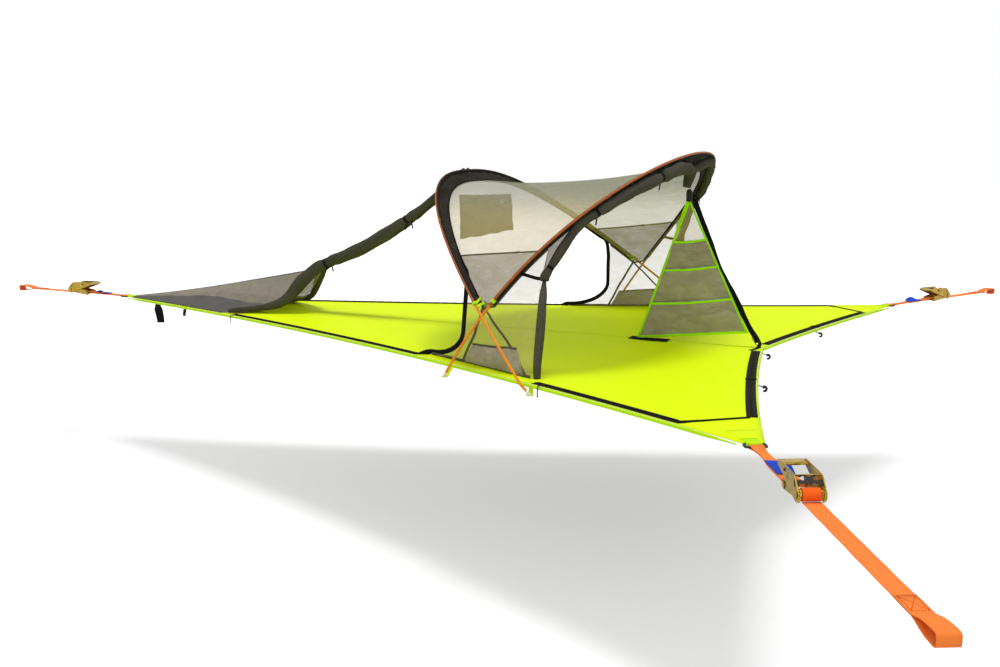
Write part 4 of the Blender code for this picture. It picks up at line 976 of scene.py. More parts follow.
def make_rear_zip(side):
    label = SIDES[side]
    base = BASE[-1]
    path = zip_line(LONG[-1], 0.026, 3.044, 3.700, 32)
    widths = [BASE_BAND] * len(path)
    end, corner = path[-1], on_floor(base.at_y(1.225, BASE_INSET), ON_FLOOR)
    for share in (0.1, 0.3, 0.5, 0.7, 0.9, 0.96):
        path.append(end.lerp(corner, share))
        widths.append(mix(ZIP_WIDE, ZIP_NARROW, min(share * 3, 1.0)))
    strip = [on_floor(base.at_y(y, BASE_INSET), ON_FLOOR) for y in steps(1.225, 0.085, 40)]
    pieces = []
    for name, line, width, material in (("zip_tape", path, widths, BLACK_WEB), ("base_band", strip, BASE_BAND, BAND)):
        sideways = [vec(way.y, -way.x, 0.0).normalized() for way in tangents(line)]
        pieces.append(band("rear_" + name, flip(line, side), width, flip(sideways, side), 0.0014, material))
    pieces.append(zip_coil("rear_zip_coil_" + label, flip(path, side), 0.0012, 0.0019))
    pieces.append(zip_coil("base_zip_coil_" + label, flip(strip, side), 0.0008, 0.0022))
    dress("rear_zip_" + label, pieces, "black_webbing", "rear_door_zip_" + label)
    way, out = tangents(strip)[20], sideways[20]
    profile = ((-0.022, 0.001), (-0.018, 0.0035), (0.018, 0.0035), (0.022, 0.001))
    path = [strip[20] + out * d + Z * h for d, h in profile]
    pieces = [band("keeper_loop_" + label, flip(path, side), 0.018, flip([way] * 4, side), 0.0012, BLACK_WEB)]
    for offset in (-0.006, 0.006):
        line = [p + way * offset + Z * 0.0010 for p in path[1:3]]
        pieces.append(stitches("keeper_stitches_" + label, flip(line, side), Z))
    dress("base_keeper_" + label, pieces, "black_webbing")


for side in SIDES:
    make_front_zip(side)
    make_rear_zip(side)


# Net over the foot end and the rolled doors

def ridge_point(share):
    """Place on the net's middle line, from the tip to the front doors."""
    return vec(TIP + 1.351 * share, 0.0, 0.248 * share - 0.080 * share * (1 - share))


def net_point(share, t):
    """Near half of the net: share runs from the tip to the door, t from the rim to the ridge."""
    foot = on_floor(LONG[-1].at_x(mix(0.040, 0.8816, share), 0.012), ON_FLOOR)
    top = ridge_point(mix(0.0296, 0.9729, share)) + Z * ON_FLOOR
    p = foot.lerp(top, t)
    p.z -= (0.010 * share + 0.062 * smooth((share - 0.50) / 0.50)) * sin(pi * t)
    p.x += 0.042 * smooth((share - 0.6) / 0.4) * smooth(t / 0.15)
    fold = ripple((p.x * 2.5, p.y * 2.5, 0.0), 2.0, 6.0) + 0.5 * sin(share * 48 + 5 * t + 2 * ripple(p, 4.0, 1.0))
    p.z += 0.004 * share * fold * sin(pi * t)
    return p


def make_net():
    rows = [row + flip(row[-2::-1], 1) for row in grid(60, 16, net_point)]
    hems = [band("net_ridge_hem", [row[16] + Z * 0.0016 for row in rows], 0.008, Y, 0.0012, TAPE)]
    for side in SIDES:
        line = flip([row[0] + Z * 0.0016 for row in rows], side)
        hems.append(band("net_foot_hem_" + SIDES[side], line, 0.010, Y, 0.0012, TAPE))
    for hem in hems:
        settle(hem)
    net = sheet("foot_net_cloth", rows, NET, ["front_net"])
    net.data.materials.append(NET_THIN)
    for face in net.data.polygons:
        t = 1 - abs(face.index % 32 - 15.5) / 16
        row = face.index // 32 / 60
        face.material_index = int(t >= 0.46 + 0.10 * (1 - row))


make_net()


def roll_shape(seed, folds=5, depth=0.10):
    """Loose folds that wind slowly round a roll of cloth."""
    def size(i, angle):
        wind = cos(angle * folds + i * 0.16 + seed)
        lap = exp(-((sin(angle / 2 - i * 0.035 - seed)) / 0.16) ** 2)
        crease = 0.5 * sin(i * 0.9 + 2 * sin(angle + seed)) * sin(angle * 2 + i * 0.3)
        return 0.93 + depth * (0.35 * wind + 0.30 * crease + 0.55 * lap)
    return size


def pinched(i, ties, depth):
    """Share of a roll's radius that is left beside its ties."""
    return 1 - depth * exp(-(min(abs(i - tie) for tie in ties) / 2.6) ** 2)


def make_ties(name, path, radii, places, side, extra=()):
    """Ties of narrow webbing round a roll, each with a small toggle and a tail."""
    pieces = []
    ways = tangents(path)
    for i in places:
        place, way, radius = path[i], ways[i], radii[i] * 1.02
        normal = way.orthogonal().normalized()
        other = way.cross(normal)
        turns = [tau * k / 24 for k in range(24)]
        ring = [place + (normal * cos(a) + other * sin(a)) * radius for a in turns]
        down = place - Z * radius
        tail = [down, down + vec(0.0, 0.004 * side, -0.012), down + vec(0.0, 0.010 * side, -0.030)]
        pieces.append(band(name + "_tie", ring, 0.012, way, 0.0016, BLACK_WEB, closed=True))
        pieces.append(loft(name + "_toggle", [down + way * d for d in (-0.016, -0.014, 0.014, 0.016)],
                           [0.003, 0.0045, 0.0045, 0.003], BLACK, 10))
        pieces.append(band(name + "_tail", tail, 0.008, way, 0.0012, BLACK_WEB))
    dress(name, pieces + list(extra), "black_webbing")


def front_roll_line(count):
    """Middle line of the near front door's roll, from the rim over the ridge to the arch's top."""
    foot = on_floor(LONG[-1].at_x(0.930, 0.025), 0.014)
    beside = Y * -0.0244
    crest = ridge_point(1.0) + beside
    end = FRONT.apex() - (FRONT.apex() - ridge_point(1.0)).normalized() * 0.0053 + beside
    points = [foot, foot.lerp(crest, 0.5) + vec(0.018, 0.0, -0.080),
              foot.lerp(crest, 0.8) + vec(0.010, 0.0, -0.026), crest]
    points += [crest.lerp(end, share) - Z * (0.208 * share * (1 - share)) for share in (0.25, 0.5, 0.75)]
    line = smooth_line(points + [end], count)
    for point in line:
        point.y = min(point.y, beside.y)
    return line


def make_front_roll(side):
    label = SIDES[side]
    ties = (58, 110)
    radii = []
    for i in range(150):
        size = mix(0.012, 0.0300, smooth((i - 10 * (side > 0)) / 50)) * (1 - 0.38 * smooth((i - 106) / 14))
        size += 0.007 * exp(-((i - 38) / 14) ** 2) if side < 0 else 0.0
        radii.append(size * pinched(i, ties, 0.30) * (1 + 0.05 * sin(i * 0.35)))
    path = flip(front_roll_line(150), side)
    roll = loft("front_roll_" + label, path, radii, ROLL, 26, roll_shape(side + 2.0))
    settle(roll, nodes=["front_door_roll_" + label])
    make_ties("front_roll_ties_" + label, path, radii, ties, side)


GATHER_TOP = 0.363


def gather_line():
    """Middle line of the near rear door's gathered cloth, from its foot up."""
    top = UPPER[-1]
    foot = wall_point(WALL_END, 0.0012)
    result = []
    for height in steps(foot.z, GATHER_TOP, 8):
        lift = height / GATHER_TOP
        point = foot.lerp(top, (height - foot.z) / (top.z - foot.z)) + vec(0.022 * (1 - lift / 2), -0.022 * lift, 0.0)
        point.z = height
        result.append(point)
    result[0] = vec(result[1].x, result[1].y, foot.z)
    return result


def make_rear_doors(side):
    label = SIDES[side]
    gathered = smooth_line(gather_line(), 60)
    sizes = [0.0125 + 0.004 * sin(pi * i / 59) - 0.005 * smooth((i - 50) / 9) for i in range(60)]

    def pleats(i, angle):
        return 0.86 + 0.26 * sin(angle * 3 + i * 0.02) ** 2 + 0.12 * sin(angle * 7 + i * 0.05 + side)

    door = loft("gathered_cloth_" + label, flip(gathered, side), sizes, GATHER, 36, pleats)
    settle(door, nodes=["gathered_door_" + label])
    upward = (gathered[-1] - gathered[-2]).normalized()
    start = gathered[-1] + upward * 0.0004
    points = [start + upward * 0.017]
    for share in (0.70, 0.78, 0.85, 0.91, 0.955, 0.98):
        z = REAR.height * share
        size = mix(0.017, 0.030, smooth((share - 0.7) / 0.3))
        size -= 0.024 * smooth((share - 0.78) / 0.13) if side > 0 else 0.0
        points.append(REAR.inner(z, 0.030, 0.0042) + REAR.across(z) * (size + 0.004))
    ahead, aside = (0.024, 0.0304) if side < 0 else (0.046, 0.020)
    for drop, forward, beside in ((0.50, 0.07, 2.2), (0.70, 0.13, 1.0), (1.0, 0.20, 1.0)):
        points.append(REAR.apex() - vec(0.150 * forward + ahead, aside * beside, 0.150 * drop))
    path = flip([start] + smooth_line(points, 150), side)
    ties = (6, 44, 92)
    radii = []
    for i in range(151):
        size = mix(0.0190, 0.029 if side < 0 else 0.024, smooth((i - 20) / 84))
        size = mix(size, 0.016, smooth((i - 138) / 12))
        radii.append(size * pinched(i, ties, 0.25) * (1 + 0.05 * sin(i * 0.4 + 1)))
    roll = loft("rear_roll_" + label, path, radii, ROLL, 28, roll_shape(side + 7.0, 6, 0.13))
    settle(roll, nodes=["rear_door_roll_" + label])
    hold = [REAR.inner(0.392, 0.030), gathered[-1].lerp(REAR.point(0.392), 0.35),
            gathered[-1] + vec(0.0, -0.010, 0.006)]
    strap = band("door_tie_" + label, flip(hold, side), 0.014, Z, 0.0014, BLACK_WEB)
    make_ties("rear_roll_ties_" + label, path, radii, ties, side, [strap])


for side in SIDES:
    make_front_roll(side)
    make_rear_doors(side)


def make_ear(side):
    """Mesh ear between the rear arch and the rolled door."""
    tie = gather_line()[-1] + vec(-0.016, 0.004, 0.004)
    last = arch_inner_point(REAR, 0.612) + REAR.across(0.6) * 0.020

    def point(share, t):
        z = mix(0.500, 0.610, share)
        top = arch_inner_point(REAR, z) + REAR.across(z) * 0.0040
        p = top.lerp(tie.lerp(last, share ** 0.9), t)
        return p + Y * (0.002 * ripple(p, 20.0, 4.0))

    rows = [flip(row, side) for row in grid(20, 10, point)]
    sheet("wall_ear_" + SIDES[side], rows, DART)


for side in SIDES:
    make_ear(side)


# Middle line: spine, organiser and the cloth that hangs from the canopy

def make_spine():
    foot, top = vec(TIP + 3.642, 0.0, 0.0013), vec(TIP + 3.330, 0.0, 0.668)
    shares = ((1.0, 1.0), (0.95, 0.90), (0.75, 0.68), (0.60, 0.505), (0.34, 0.30), (0.18, 0.15), (0.04, 0.055),
              (0.0, 0.0))
    points = [vec(mix(foot.x, top.x, across), 0.0, mix(foot.z, top.z, up)) for across, up in shares]
    line = smooth_line(points, 90)
    for i, p in enumerate(line):
        p.y += 0.0015 * sin(i * 0.7) * smooth(i / 6) * smooth((89 - i) / 6)
    sideways = [Y.cross(way).normalized() for way in tangents(line)]
    flap = [p + w * 0.0085 for p, w in zip(line, sideways)][3:-3]
    pieces = [band("spine_tape", line, [0.018 + 0.0015 * sin(i * 0.9) for i in range(90)], Y, 0.0022, BLACK_WEB),
              loft("spine_cord", [p + vec(0.004, 0.0, 0.002) for p in line[2:-1]], 0.0030, BLACK_WEB, 8),
              band("spine_flap", flap, [0.015 + 0.003 * sin(i * 0.33) for i in range(84)], sideways[3:-3], 0.0018,
                   BLACK_WEB)]
    dress("spine_dressed", pieces, "black_webbing", "spine_strap")


make_spine()


def make_organiser():
    apex = vec(TIP + 3.302, 0.0, 0.646)
    front = vec(TIP + 3.079, 0.0, 0.0009)
    rear = vec(TIP + 3.585, 0.0, 0.062)
    pockets = (0.30, 0.50, 0.74, 1.0)

    def flat_point(share, t):
        return apex.lerp(front, share).lerp(apex.lerp(rear, share), t)

    def back_point(r, t):
        p = flat_point(mix(0.03, 1.0, r), t)
        return p + Y * (0.003 * ripple((p.x, p.z, 0.0), 14.0, 5.0) * sin(pi * t))

    rows = grid(80, 24, back_point)
    back = cloth("organiser_back", rows, SHEET, POCKET)
    back.data.materials.append(CANOPY)
    for face in back.data.polygons:
        face.material_index = int(face.index // 24 < 80 * (0.30 - 0.03) / 0.97)
    settle(back, nodes=["organiser_panel"])
    trims = []
    for n, (low, high) in enumerate(zip(pockets, pockets[1:])):
        def pocket_point(r, t):
            p = flat_point(mix(low + 0.012, high, r), t)
            belly = sin(pi * t) ** 0.6 * sin(pi * min(0.30 + 0.7 * r, 1.0))
            crease = 0.007 * ripple((p.x * 1.4, p.z, 0.0), 20.0, n * 3.0) + 0.004 * ripple((p.x, p.z * 3, 0.0), 40.0, n)
            return p - vec(0.0, 0.0012 + (0.011 + crease) * belly, 0.006 * sin(pi * t) * (1 - r))

        pocket = grid(24, 32, pocket_point)
        sheet("organiser_pocket_%d" % (n + 1), pocket, POCKET, extra=1.03)
        edge = [p + vec(0.0, -0.0012, 0.002) for p in pocket[0]]
        trims.append(band("pocket_trim", edge, 0.010, Z, 0.0016, LIME_TRIM))
    slope = (rows[-1][-1] - rows[-1][0]).normalized()
    left = [mix(0.020, 0.011, smooth(i / 30)) for i in range(len(rows))]
    out = Y * -0.0030
    for column, shift, widths in ((0, 0.004, left), (-1, -0.004, 0.010)):
        line = [row[column] + slope * shift + out for row in rows]
        trims.append(band("organiser_trim", line, widths, slope, 0.0036, LIME_TRIM))
    trims.append(band("organiser_trim", [p + out + Z * 0.005 for p in rows[-1]], 0.011, Z, 0.0036, LIME_TRIM))
    dress("organiser_trims", trims, "lime_webbing")
    declare(back, rows, extra=1.0)
    loop = [apex + Z * z for z in (-0.012, 0.010, 0.030)]
    settle(band("organiser_loop", loop, 0.016, X, 0.0020, LIME_TRIM))


make_organiser()


def make_hanging():
    """Small cloth that hangs from the canopy near the front arch."""
    lower, upper = canopy_rows(33, 8)[11:13]

    def point(share, t):
        place = mix(0.04, 0.30, share) * (len(lower) - 1)
        column = int(place)
        row = [a.lerp(b, 0.10 + 0.50 * share) for a, b in zip(lower, upper)]
        top = row[column].lerp(row[column + 1], place - column) - Z * 0.005
        wave = 0.010 * sin(share * 12.8 + 1.0) * t + 0.004 * ripple((share * 2, t * 2, 0.0), 3.0, 2.0)
        drop = mix(0.200, 0.158, share) + 0.002 * sin(share * 20)
        shift = (0.014 * share - 0.004) * t + 0.004 * ripple((share * 1.2, t * 1.2, 1.0), 2.5, 8.0)
        return top + vec(shift, wave, -drop * t)

    rows = grid(40, 24, point)
    sheet("hanging_cloth", rows, SAGE, ["hanging_panel"])
    label = [p - Y * 0.0018 for p in rows[33][3:7]]
    settle(band("hanging_label", label, 0.020, X, 0.0006, PALE))


make_hanging()


# Edges of the floor: folded webbing, its pole tabs, the seam along the middle and the hooks at the base

EDGE_WIDTH = 0.012
EDGE_DROP = EDGE_WIDTH * sin(EDGE_TILT)
EDGE_REACH = EDGE_WIDTH * cos(EDGE_TILT)


def along_rim(edge, start, end, count):
    """Places along an edge of the floor, each with the way out of it."""
    return [(p, edge.outward(p)) for p in [edge.point(share) for share in steps(start, end, count)]]


def rim_ways(out):
    """The level way out of the floor and the level way along its rim."""
    return vec(out.x, out.y, 0.0), vec(-out.y, out.x, 0.0)


def edge_band(name, rims):
    """Folded webbing just outside a line of floor places, with a row of stitches on it."""
    path, across, outer = [], [], []
    for rim, out in rims:
        flat = rim_ways(out)[0]
        place = vec(TIP + rim.x, rim.y, -0.0005 - EDGE_DROP / 2) + flat * (0.0014 + EDGE_REACH / 2)
        path.append(place)
        across.append((flat * EDGE_REACH - Z * EDGE_DROP).normalized())
        outer.append(place + flat * 0.0012)
    middle = rims[len(rims) // 2][1]
    last = len(path) - 1
    widths = [EDGE_WIDTH * mix(0.35, 1.0, smooth(min(i, last - i) / 4)) for i in range(last + 1)]
    return [band(name, path, widths, across, WEBBING, LIME_WEB, crown=0.0005),
            stitches(name + "_stitches", outer, vec(middle.x, middle.y, 0.25).normalized())]


def pole_tab(name, side, arch):
    """Webbing from the rim to below a pole's foot."""
    foot = flip(arch.line(POLE_FOOT, 9), side)[0]
    rim = LONG[side].at_x(foot.x - TIP)
    flat, along = rim_ways(LONG[side].outward(rim))
    start = vec(TIP + rim.x, rim.y, -EDGE_DROP / 2) + flat * (EDGE_REACH / 2)
    under = foot - Z * (0.0014 + 0.00375 * abs(arch.lean) / hypot(1, arch.lean))
    inner = under - flat * 0.00975
    points = [start, start.lerp(inner, 0.5) - Z * 0.001, inner, under + flat * 0.002, under + flat * 0.009]
    return band(name, points, 0.024, along, 0.0018, LIME_WEB)


def make_edges():
    for side, label in SIDES.items():
        pieces = edge_band("edge_" + label, along_rim(LONG[side], 0.004, 0.996, 120))
        pieces += [pole_tab("front_tab", side, FRONT), pole_tab("rear_tab", side, REAR)]
        dress("edge_dressed_" + label, pieces, "lime_webbing", "edge_webbing_" + label)
    middle = [(vec(REAR_MIDDLE, 0.0), vec(1.0, 0.0))]
    rims = along_rim(BASE[-1], 0.99, 0.02, 40) + middle + along_rim(BASE[1], 0.02, 0.99, 40)
    dress("edge_dressed_base", edge_band("edge_base", rims), "lime_webbing", "edge_webbing_base")
    seam = [on_floor(vec(x, 0.0), 0.0013) for x in steps(0.06, 3.61, 110)]
    pieces = [band("seam", seam, 0.014, Y, 0.0010, LIME)]
    for shift in (-0.005, 0.005):
        pieces.append(stitches("seam_stitches", [p + Y * shift + Z * 0.0007 for p in seam], Z))
    dress("floor_seam", pieces, "lime_cloth")


def make_hook(name, rim, out):
    """Black plastic hook on a short tab below the base edge."""
    flat, along = rim_ways(out)
    root = vec(TIP + rim.x, rim.y, -EDGE_DROP) + flat * 0.003
    tab = [root, root + flat * 0.010 - Z * 0.003, root + flat * 0.022 - Z * 0.006]
    curve = [(0.0, 0.0), (0.005, 0.001), (0.010, -0.004), (0.010, -0.011), (0.005, -0.016), (-0.001, -0.014)]
    line = smooth_line([tab[-1] + flat * u + Z * w for u, w in curve], 24)
    bar = [tab[-1] + along * d for d in (-0.009, -0.008, 0.008, 0.009)]
    pieces = [band("hook_tab", tab, 0.012, along, 0.0014, BLACK_WEB),
              loft("hook_curl", line, [0.0056 * (1 - 0.30 * i / 23) for i in range(24)], BLACK, 10),
              loft("hook_bar", bar, [0.003, 0.0048, 0.0048, 0.003], BLACK, 10)]
    dress(name, pieces, "black_plastic")


def make_hooks():
    for number, (side, share) in enumerate(((-1, 0.04), (-1, 0.45), (1, 0.39))):
        rim = BASE[side].point(share)
        make_hook("base_hook_%d" % (number + 1), rim, BASE[side].outward(rim))


def make_fly_tabs():
    for side, label in SIDES.items():
        rim = LONG[side].at_x(0.312)
        flat, along = rim_ways(LONG[side].outward(rim))
        top = vec(TIP + rim.x, rim.y, -EDGE_DROP - 0.0012) + flat * EDGE_REACH
        turned = (along + flat * side * 0.9).normalized()
        path = [top - Z * (0.100 * share) + along * 0.020 * smooth(share) for share in steps(0.0, 1.0, 12)]
        ways = [along.lerp(turned, smooth(i / 4)).normalized() for i in range(13)]
        pieces = [band("fly_tab_band", path, steps(0.050, 0.040, 12), ways, 0.0022, BLACK_WEB)]
        for drop in (0.008, 0.014, 0.088):
            line = [top - Z * drop + along * d + flat * 0.0013 for d in (-0.018, 0.018)]
            pieces.append(stitches("fly_tab_stitches", line, flat, material=TAPE))
        dress("fly_tab_dressed_" + label, pieces, "black_webbing", "fly_tab_" + label)


make_edges()
make_hooks()
make_fly_tabs()


# Small pieces where the poles cross and on the floor

def pole_wrap(name, arch, z, width, side):
    """Lime webbing round a pole."""
    place = [arch.point(z + step) for step in (-0.004, 0.0, 0.004)]
    way = tangents(place)[1]
    inward = arch.inward(place)[1]
    square = way.cross(inward)
    ring = [place[1] + (inward * cos(a) + square * sin(a)) * 0.0082 for a in steps(radians(30), radians(330), 20)]
    return band(name, flip(ring, side), width, flip([way], side)[0], 0.0016, LIME_WEB)


def make_crossing(side):
    """Lime loops round both poles above the crossing, with legs sewn across the dark bands."""
    pieces = [pole_wrap("upper_loop", FRONT, BAND_START, 0.012, side), pole_wrap("rear_loop", REAR, 0.280, 0.015, side)]
    for low, high, reach in ((0.259, 0.273, 0.066), (0.249, 0.254, 0.080)):
        start, end = FRONT.point(low) - Y * 0.006, FRONT.point(high) + Y * reach
        leg = [start.lerp(end, share) + FRONT.across(low) * (0.0085 + 0.001 * sin(share * 5))
               for share in (0.0, 0.3, 0.6, 1.0)]
        way = (FRONT.point(low + 0.01) - FRONT.point(low - 0.01)).normalized()
        pieces.append(band("loop_leg", flip(leg, side), 0.014, flip([way], side)[0], 0.0018, LIME_WEB))
    dress("crossing_loops_" + SIDES[side], pieces, "lime_webbing")


def make_floor_strap():
    """Short black strap that lies along the floor below the organiser."""
    places = ((3.232, -0.020, 0.004), (3.180, -0.026, 0.006), (3.120, -0.021, 0.003), (3.049, -0.012, 0.004))
    line = smooth_line([on_floor(vec(x, y), z) for x, y, z in places], 24)
    settle(band("floor_strap", line, 0.062, Y, 0.0018, BLACK_WEB))


def make_spine_foot():
    """Wire loop and webbing that tie the spine to the base band."""
    loop = [vec(TIP + x, -0.012, z) for x, z in ((3.604, 0.046), (3.622, 0.060), (3.641, 0.022), (3.628, 0.012))]
    ring = [p.lerp(after, share) for p, after in zip(loop, loop[1:] + loop[:1]) for share in (0.12, 0.5, 0.88)]
    tie = [vec(TIP + 3.628, 0.0, 0.036), vec(TIP + 3.640, -0.004, 0.020), vec(TIP + 3.634, -0.030, 0.004),
           on_floor(vec(3.618, -0.085), 0.003)]
    pieces = [loft("foot_ring", ring, 0.0016, BLACK, 8, closed=True),
              band("foot_tie", smooth_line(tie, 16), 0.016, X, 0.0018, BLACK_WEB)]
    dress("spine_foot", pieces, "black_webbing")


for side in SIDES:
    make_crossing(side)
make_floor_strap()
make_spine_foot()


# Copies of the metal and plastic solids with rounded edges and worn surfaces

def rounded(node, material, body="tent", width=0.0006, extras=()):
    shape = bmesh.new()
    shape.from_mesh(bpy.data.objects[node].data)
    bmesh.ops.remove_doubles(shape, verts=shape.verts, dist=1e-6)
    bmesh.ops.dissolve_limit(shape, angle_limit=0.02, verts=shape.verts, edges=shape.edges)
    data = bpy.data.meshes.new(node + "_rounded")
    shape.to_mesh(data)
    shape.free()
    data.materials.clear()
    data.materials.append(material)
    obj = bpy.data.objects.new(node + "_rounded", data)
    bpy.context.scene.collection.objects.link(obj)
    bevel = obj.modifiers.new("edges", "BEVEL")
    bevel.width = width
    bevel.segments = 2
    bevel.limit_method = "ANGLE"
    bevel.angle_limit = radians(35)
    if extras:
        obj = joined(obj.name, [obj] + list(extras))
    settle(obj, body, [node])


for side in SIDES:
    for kind in ("front", "rear"):
        name = "zip_slider_%s_%s" % (kind, SIDES[side])
        rounded(name, STEEL, name, 0.0005)
rounded("organiser_buckle", BLACK, width=0.0008)


# Corners: loops, rings, slings, ratchets and tree straps

AXLE_AHEAD, AXLE_HEIGHT = 0.125, 0.01685
RING_WRAP = 0.0054
STRAP_WIDTH = 0.050


def arc(centre, radius, start, end, count):
    return [(centre[0] + radius * cos(a), centre[1] + radius * sin(a)) for a in steps(start, end, count)]


class Corner:
    """Places measured out along a strap, across it and up from a corner of the floor."""

    def __init__(self, name):
        self.name = name
        centre, angle, self.bolt, self.strap = CORNERS[name]
        self.origin = vec(TIP + centre.x, centre.y, 0.0)
        self.out = vec(cos(angle), sin(angle), 0.0)
        self.across = vec(-sin(angle), cos(angle), 0.0)

    def place(self, u, v, w):
        return self.origin + self.out * u + self.across * v + Z * w

    def line(self, path):
        return [self.place(u, 0.0, w) for u, w in path]

    def flat_line(self, path):
        return [self.place(u, v, 0.0) for u, v in path]


def make_corner_loop(corner):
    upper = [(-0.046, 0.0019), (-0.030, 0.0019), (-0.0054, 0.0019)]
    path = upper + arc((0.011, 0.0), RING_WRAP, radians(110), radians(-110), 12) + [(u, -w) for u, w in upper[::-1]]
    patch = [(-0.150, 0.0012), (-0.110, 0.0014), (-0.070, 0.0014), (-0.034, 0.0014)]
    pieces = [band("corner_loop", corner.line(path), 0.0492, corner.across, WEBBING, LIME_WEB),
              band("corner_patch", corner.line(patch), [0.100, 0.082, 0.066, 0.056], corner.across, 0.0012, LIME)]
    for u in (-0.042, -0.036, -0.012):
        pieces.append(stitches("loop_stitches", [corner.place(u, v, 0.0030) for v in (-0.022, 0.022)], Z))
    dress("corner_loop_" + corner.name, pieces, "lime_webbing")


def make_ring(corner):
    turn, back, front, side = 0.006, 0.017, 0.035, 0.027
    centres = [(front, side), (back, side), (back, -side), (front, -side)]
    path = []
    for i, centre in enumerate(centres):
        angle = (i + 1) * pi / 2
        path += arc(centre, turn, i * pi / 2, angle, 7)
        end, begin = path[-1], arc(centres[(i + 1) % 4], turn, angle, angle, 1)[0]
        path += [(mix(end[0], begin[0], share), mix(end[1], begin[1], share)) for share in (0.25, 0.5, 0.75)]
    ring = loft("ring_" + corner.name, corner.flat_line(path), 0.0040, STEEL, 16, closed=True)
    settle(ring, nodes=["corner_ring_" + corner.name])


def make_sling(corner):
    bar = 0.041
    span = corner.bolt - bar
    lower = [(bar + span * s, -0.0014 + 0.004 * s) for s in steps(0.10, 0.88, 26)]
    path = arc((bar, 0.0), RING_WRAP, radians(96), radians(264), 14) + lower
    path += arc((corner.bolt, 0.004), 0.0074, radians(-98), radians(98), 16)
    path += [(u, w + 0.0028) for u, w in reversed(lower)]
    widths, crowns = [], []
    for i, (u, _) in enumerate(path):
        waist = exp(-((min(max((u - bar) / span, 0.0), 1.0) - 0.25) / 0.20) ** 2)
        widths.append(mix(STRAP_WIDTH, 0.030, waist))
        crowns.append(0.0035 * waist * (1 if i < len(path) // 2 else -1))
    pieces = [band("sling_belt", corner.line(path), widths, corner.across, WEBBING, ORANGE_WEB, True, crowns)]
    for back in (0.055, 0.049, 0.024):
        u = corner.bolt - back
        row = [corner.place(u, v, 0.0026 + 0.004 * (u - bar) / span) for v in (-0.022, 0.022)]
        pieces.append(stitches("sling_stitches", row, Z, material=ORANGE_THREAD))
    dress("sling_dressed_" + corner.name, pieces, "orange_webbing", "sling_" + corner.name)


def make_label(corner, low, high):
    """Blank blue label folded round the sling, standing a little off it."""
    def point(share, t):
        u, v = mix(low, high, share), mix(-0.024, 0.024, t)
        lift = 0.0055 + 0.016 * t * t * sin(pi * share) + 0.0012 * ripple((u * 9, v * 9, 0.0), 2.0, 3.0)
        return corner.place(u + 0.010 * t, v, lift + 0.0035 * (u / corner.bolt))

    sheet("sling_label_" + corner.name, grid(16, 12, point), LABEL,
          extra=1.03, thickness=0.0006)


def make_tree_strap(corner):
    roll, below = AXLE_HEIGHT + 0.0014, AXLE_HEIGHT - 0.001
    start = corner.bolt + AXLE_AHEAD + sqrt(roll ** 2 - below ** 2) + 0.0004
    reach, end = corner.strap, corner.strap + 0.111
    path = [(mix(start, reach, i / 40), 0.0004 * sin(i * 0.8) * (i % 40 > 0)) for i in range(41)]
    path += [(reach + 0.020, -0.004), (reach + 0.0385, -0.009), (reach + 0.064, -0.0135), (end - 0.022, -0.015)]
    path += arc((end - 0.009, -0.006), 0.009, radians(-90), 0.0, 8)[1:]
    path += arc((end - 0.009, 0.006), 0.009, 0.0, radians(90), 8)[:-1]
    path += [(end - 0.022, 0.015), (reach + 0.064, 0.0139), (reach + 0.0385, 0.0114), (reach + 0.020, 0.0068)]
    path += [(reach, 0.0024), (reach - 0.045, 0.0024), (reach - 0.090, 0.0024)]
    pieces = [band("strap_band", corner.line(path), STRAP_WIDTH, corner.across, WEBBING, ORANGE_WEB)]
    box = [corner.place(reach + u, v, 0.0037) for u, v in ((-0.084, -0.019), (-0.084, 0.019), (-0.012, 0.019),
                                                           (-0.012, -0.019))]
    for a, b in ((0, 1), (1, 2), (2, 3), (3, 0), (0, 2), (1, 3)):
        pieces.append(stitches("eye_stitches", [box[a], box[b]], Z, 0.0045, 0.0015, 0.0007, ORANGE_THREAD))
    dress("tree_strap_dressed_" + corner.name, pieces, "orange_webbing", "tree_strap_" + corner.name)


def make_wound(corner):
    axle = corner.bolt + AXLE_AHEAD
    path = []
    for i in range(166, -1, -1):
        turns = 2.75 * i / 166
        layer = turns + 0.03 if turns >= 0.97 else smooth((turns - 0.90) / 0.07)
        radius, angle = AXLE_HEIGHT - 0.0025 * layer, -pi / 2 - tau * turns
        path.append((axle + radius * cos(angle), AXLE_HEIGHT + radius * sin(angle)))
    u, w = path[0]
    path.insert(0, (axle - (u - axle) * 0.7, AXLE_HEIGHT - (w - AXLE_HEIGHT) * 0.7))
    roll = band("wound_dressed_" + corner.name, corner.line(path), 0.049, corner.across, WEBBING, WOUND_WEB)
    settle(roll, "spool_" + corner.name, ["wound_webbing_" + corner.name])


def make_spring(start, end):
    """Coil spring between two places."""
    way = (end - start).normalized()
    normal = way.orthogonal().normalized()
    other = way.cross(normal)
    line = []
    for i in range(61):
        angle = tau * i / 12
        line.append(start.lerp(end, i / 60) + (normal * cos(angle) + other * sin(angle)) * 0.0026)
    return loft("spring", line, 0.0005, STEEL, 6)


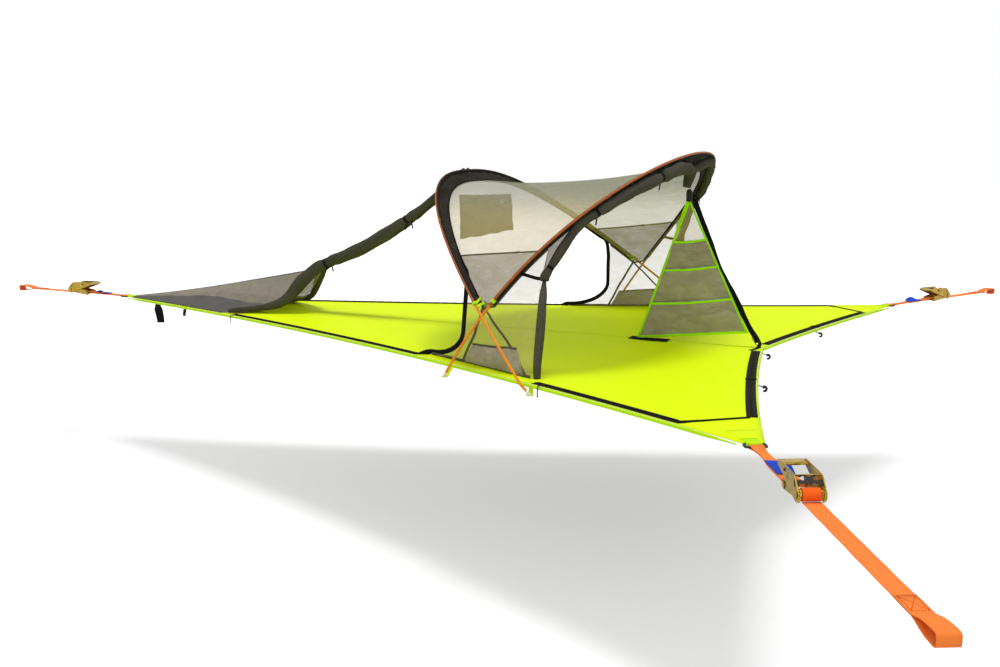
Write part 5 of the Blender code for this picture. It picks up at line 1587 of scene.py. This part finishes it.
def make_ratchet(corner):
    name = corner.name

    def at(u, v, w):
        return corner.place(corner.bolt + AXLE_AHEAD + u, v, AXLE_HEIGHT + w)

    def studs(u, w, depths, radii, sides):
        return [loft("stud", [at(u, way * v, w) for v in depths], radii, STEEL, sides) for way in (-1, 1)]

    washers = studs(-0.125, -0.01285, (0.02945, 0.0300, 0.0306), [0.0115, 0.0115, 0.01104], 24)
    rounded("ratchet_frame_" + name, GOLD, extras=washers)
    springs = [make_spring(at(-0.0455, v, 0.0345), at(-0.030, v, 0.0400)) for v in (-0.018, 0.018)]
    rivets = studs(-0.100, 0.036, (0.0382, 0.0392, 0.0398), [0.0052, 0.0050, 0.0034], 20)
    rounded("ratchet_handle_" + name, GOLD, "handle_" + name, extras=rivets + springs)
    rounded("ratchet_spool_" + name, GOLD, "spool_" + name, 0.0004)
    for kind in ("drive_pawl_", "lock_pawl_"):
        rounded(kind + name, STEEL, kind + name, 0.0004)


for name, span in (("front", (0.160, 0.245)), ("near", (0.200, 0.330)), ("far", (0.200, 0.300))):
    corner = Corner(name)
    make_corner_loop(corner)
    make_ring(corner)
    make_sling(corner)
    make_label(corner, *span)
    make_tree_strap(corner)
    make_wound(corner)
    make_ratchet(corner)


# Ground, world and lamps

def seen_rays(tree):
    """1 for rays that the camera sees directly, in a mirror or through mesh."""
    path = tree.nodes.new("ShaderNodeLightPath")
    result = path.outputs["Is Camera Ray"]
    for name in ("Is Glossy Ray", "Is Transmission Ray"):
        larger = tree.nodes.new("ShaderNodeMath")
        larger.operation = "MAXIMUM"
        tree.links.new(result, larger.inputs[0])
        tree.links.new(path.outputs[name], larger.inputs[1])
        result = larger.outputs[0]
    return result


def make_stage():
    level = -0.86
    corners = [(-30, -30, level), (36, -30, level), (36, 36, level), (-30, 36, level)]
    g = Graph("pale_ground", (0.74, 0.735, 0.75), 0.9, 0.0)
    away = g.node("VectorMath", {0: g.place(), 1: (3.2, 0.3, level)}, operation="DISTANCE").outputs["Value"]
    strength = g.times(seen_rays(g.material.node_tree), g.rise(away, 2.6, 6.5, 0.35, 0.70))
    glow = g.node("Emission", {"Color": (1.0, 1.0, 0.995, 1.0), "Strength": strength})
    total = g.node("AddShader", {0: g.shader.outputs["BSDF"], 1: glow.outputs["Emission"]})
    g.fill(g.nodes["Material Output"], {"Surface": total.outputs["Shader"]})
    new_mesh("ground", corners, [(0, 1, 2, 3)], g.material, smooth_faces=False)


def make_world():
    world = bpy.data.worlds.new("white_room")
    bpy.context.scene.world = world
    world.use_nodes = True
    tree = world.node_tree
    background = tree.nodes["Background"]
    background.inputs["Color"].default_value = (1.0, 1.0, 1.0, 1.0)
    strength = tree.nodes.new("ShaderNodeMapRange")
    strength.inputs["To Min"].default_value = 0.56
    tree.links.new(seen_rays(tree), strength.inputs["Value"])
    tree.links.new(strength.outputs["Result"], background.inputs["Strength"])


def make_lamp(name, place, target, size, power):
    lamp = bpy.data.lights.new(name, "AREA")
    lamp.shape = "RECTANGLE"
    lamp.size, lamp.size_y = size
    lamp.energy = power
    obj = bpy.data.objects.new(name, lamp)
    bpy.context.scene.collection.objects.link(obj)
    obj.location = place
    obj.rotation_euler = (Vector(target) - Vector(place)).to_track_quat("-Z", "Y").to_euler()


make_stage()
make_world()
make_lamp("top_light", (3.5, 0.3, 14.0), (3.5, 0.3, 0.0), (4.2, 3.2), 1040.0)
make_lamp("side_light", (6.2, -6.5, 2.8), (3.6, 0.0, 0.2), (4.0, 3.0), 90.0)
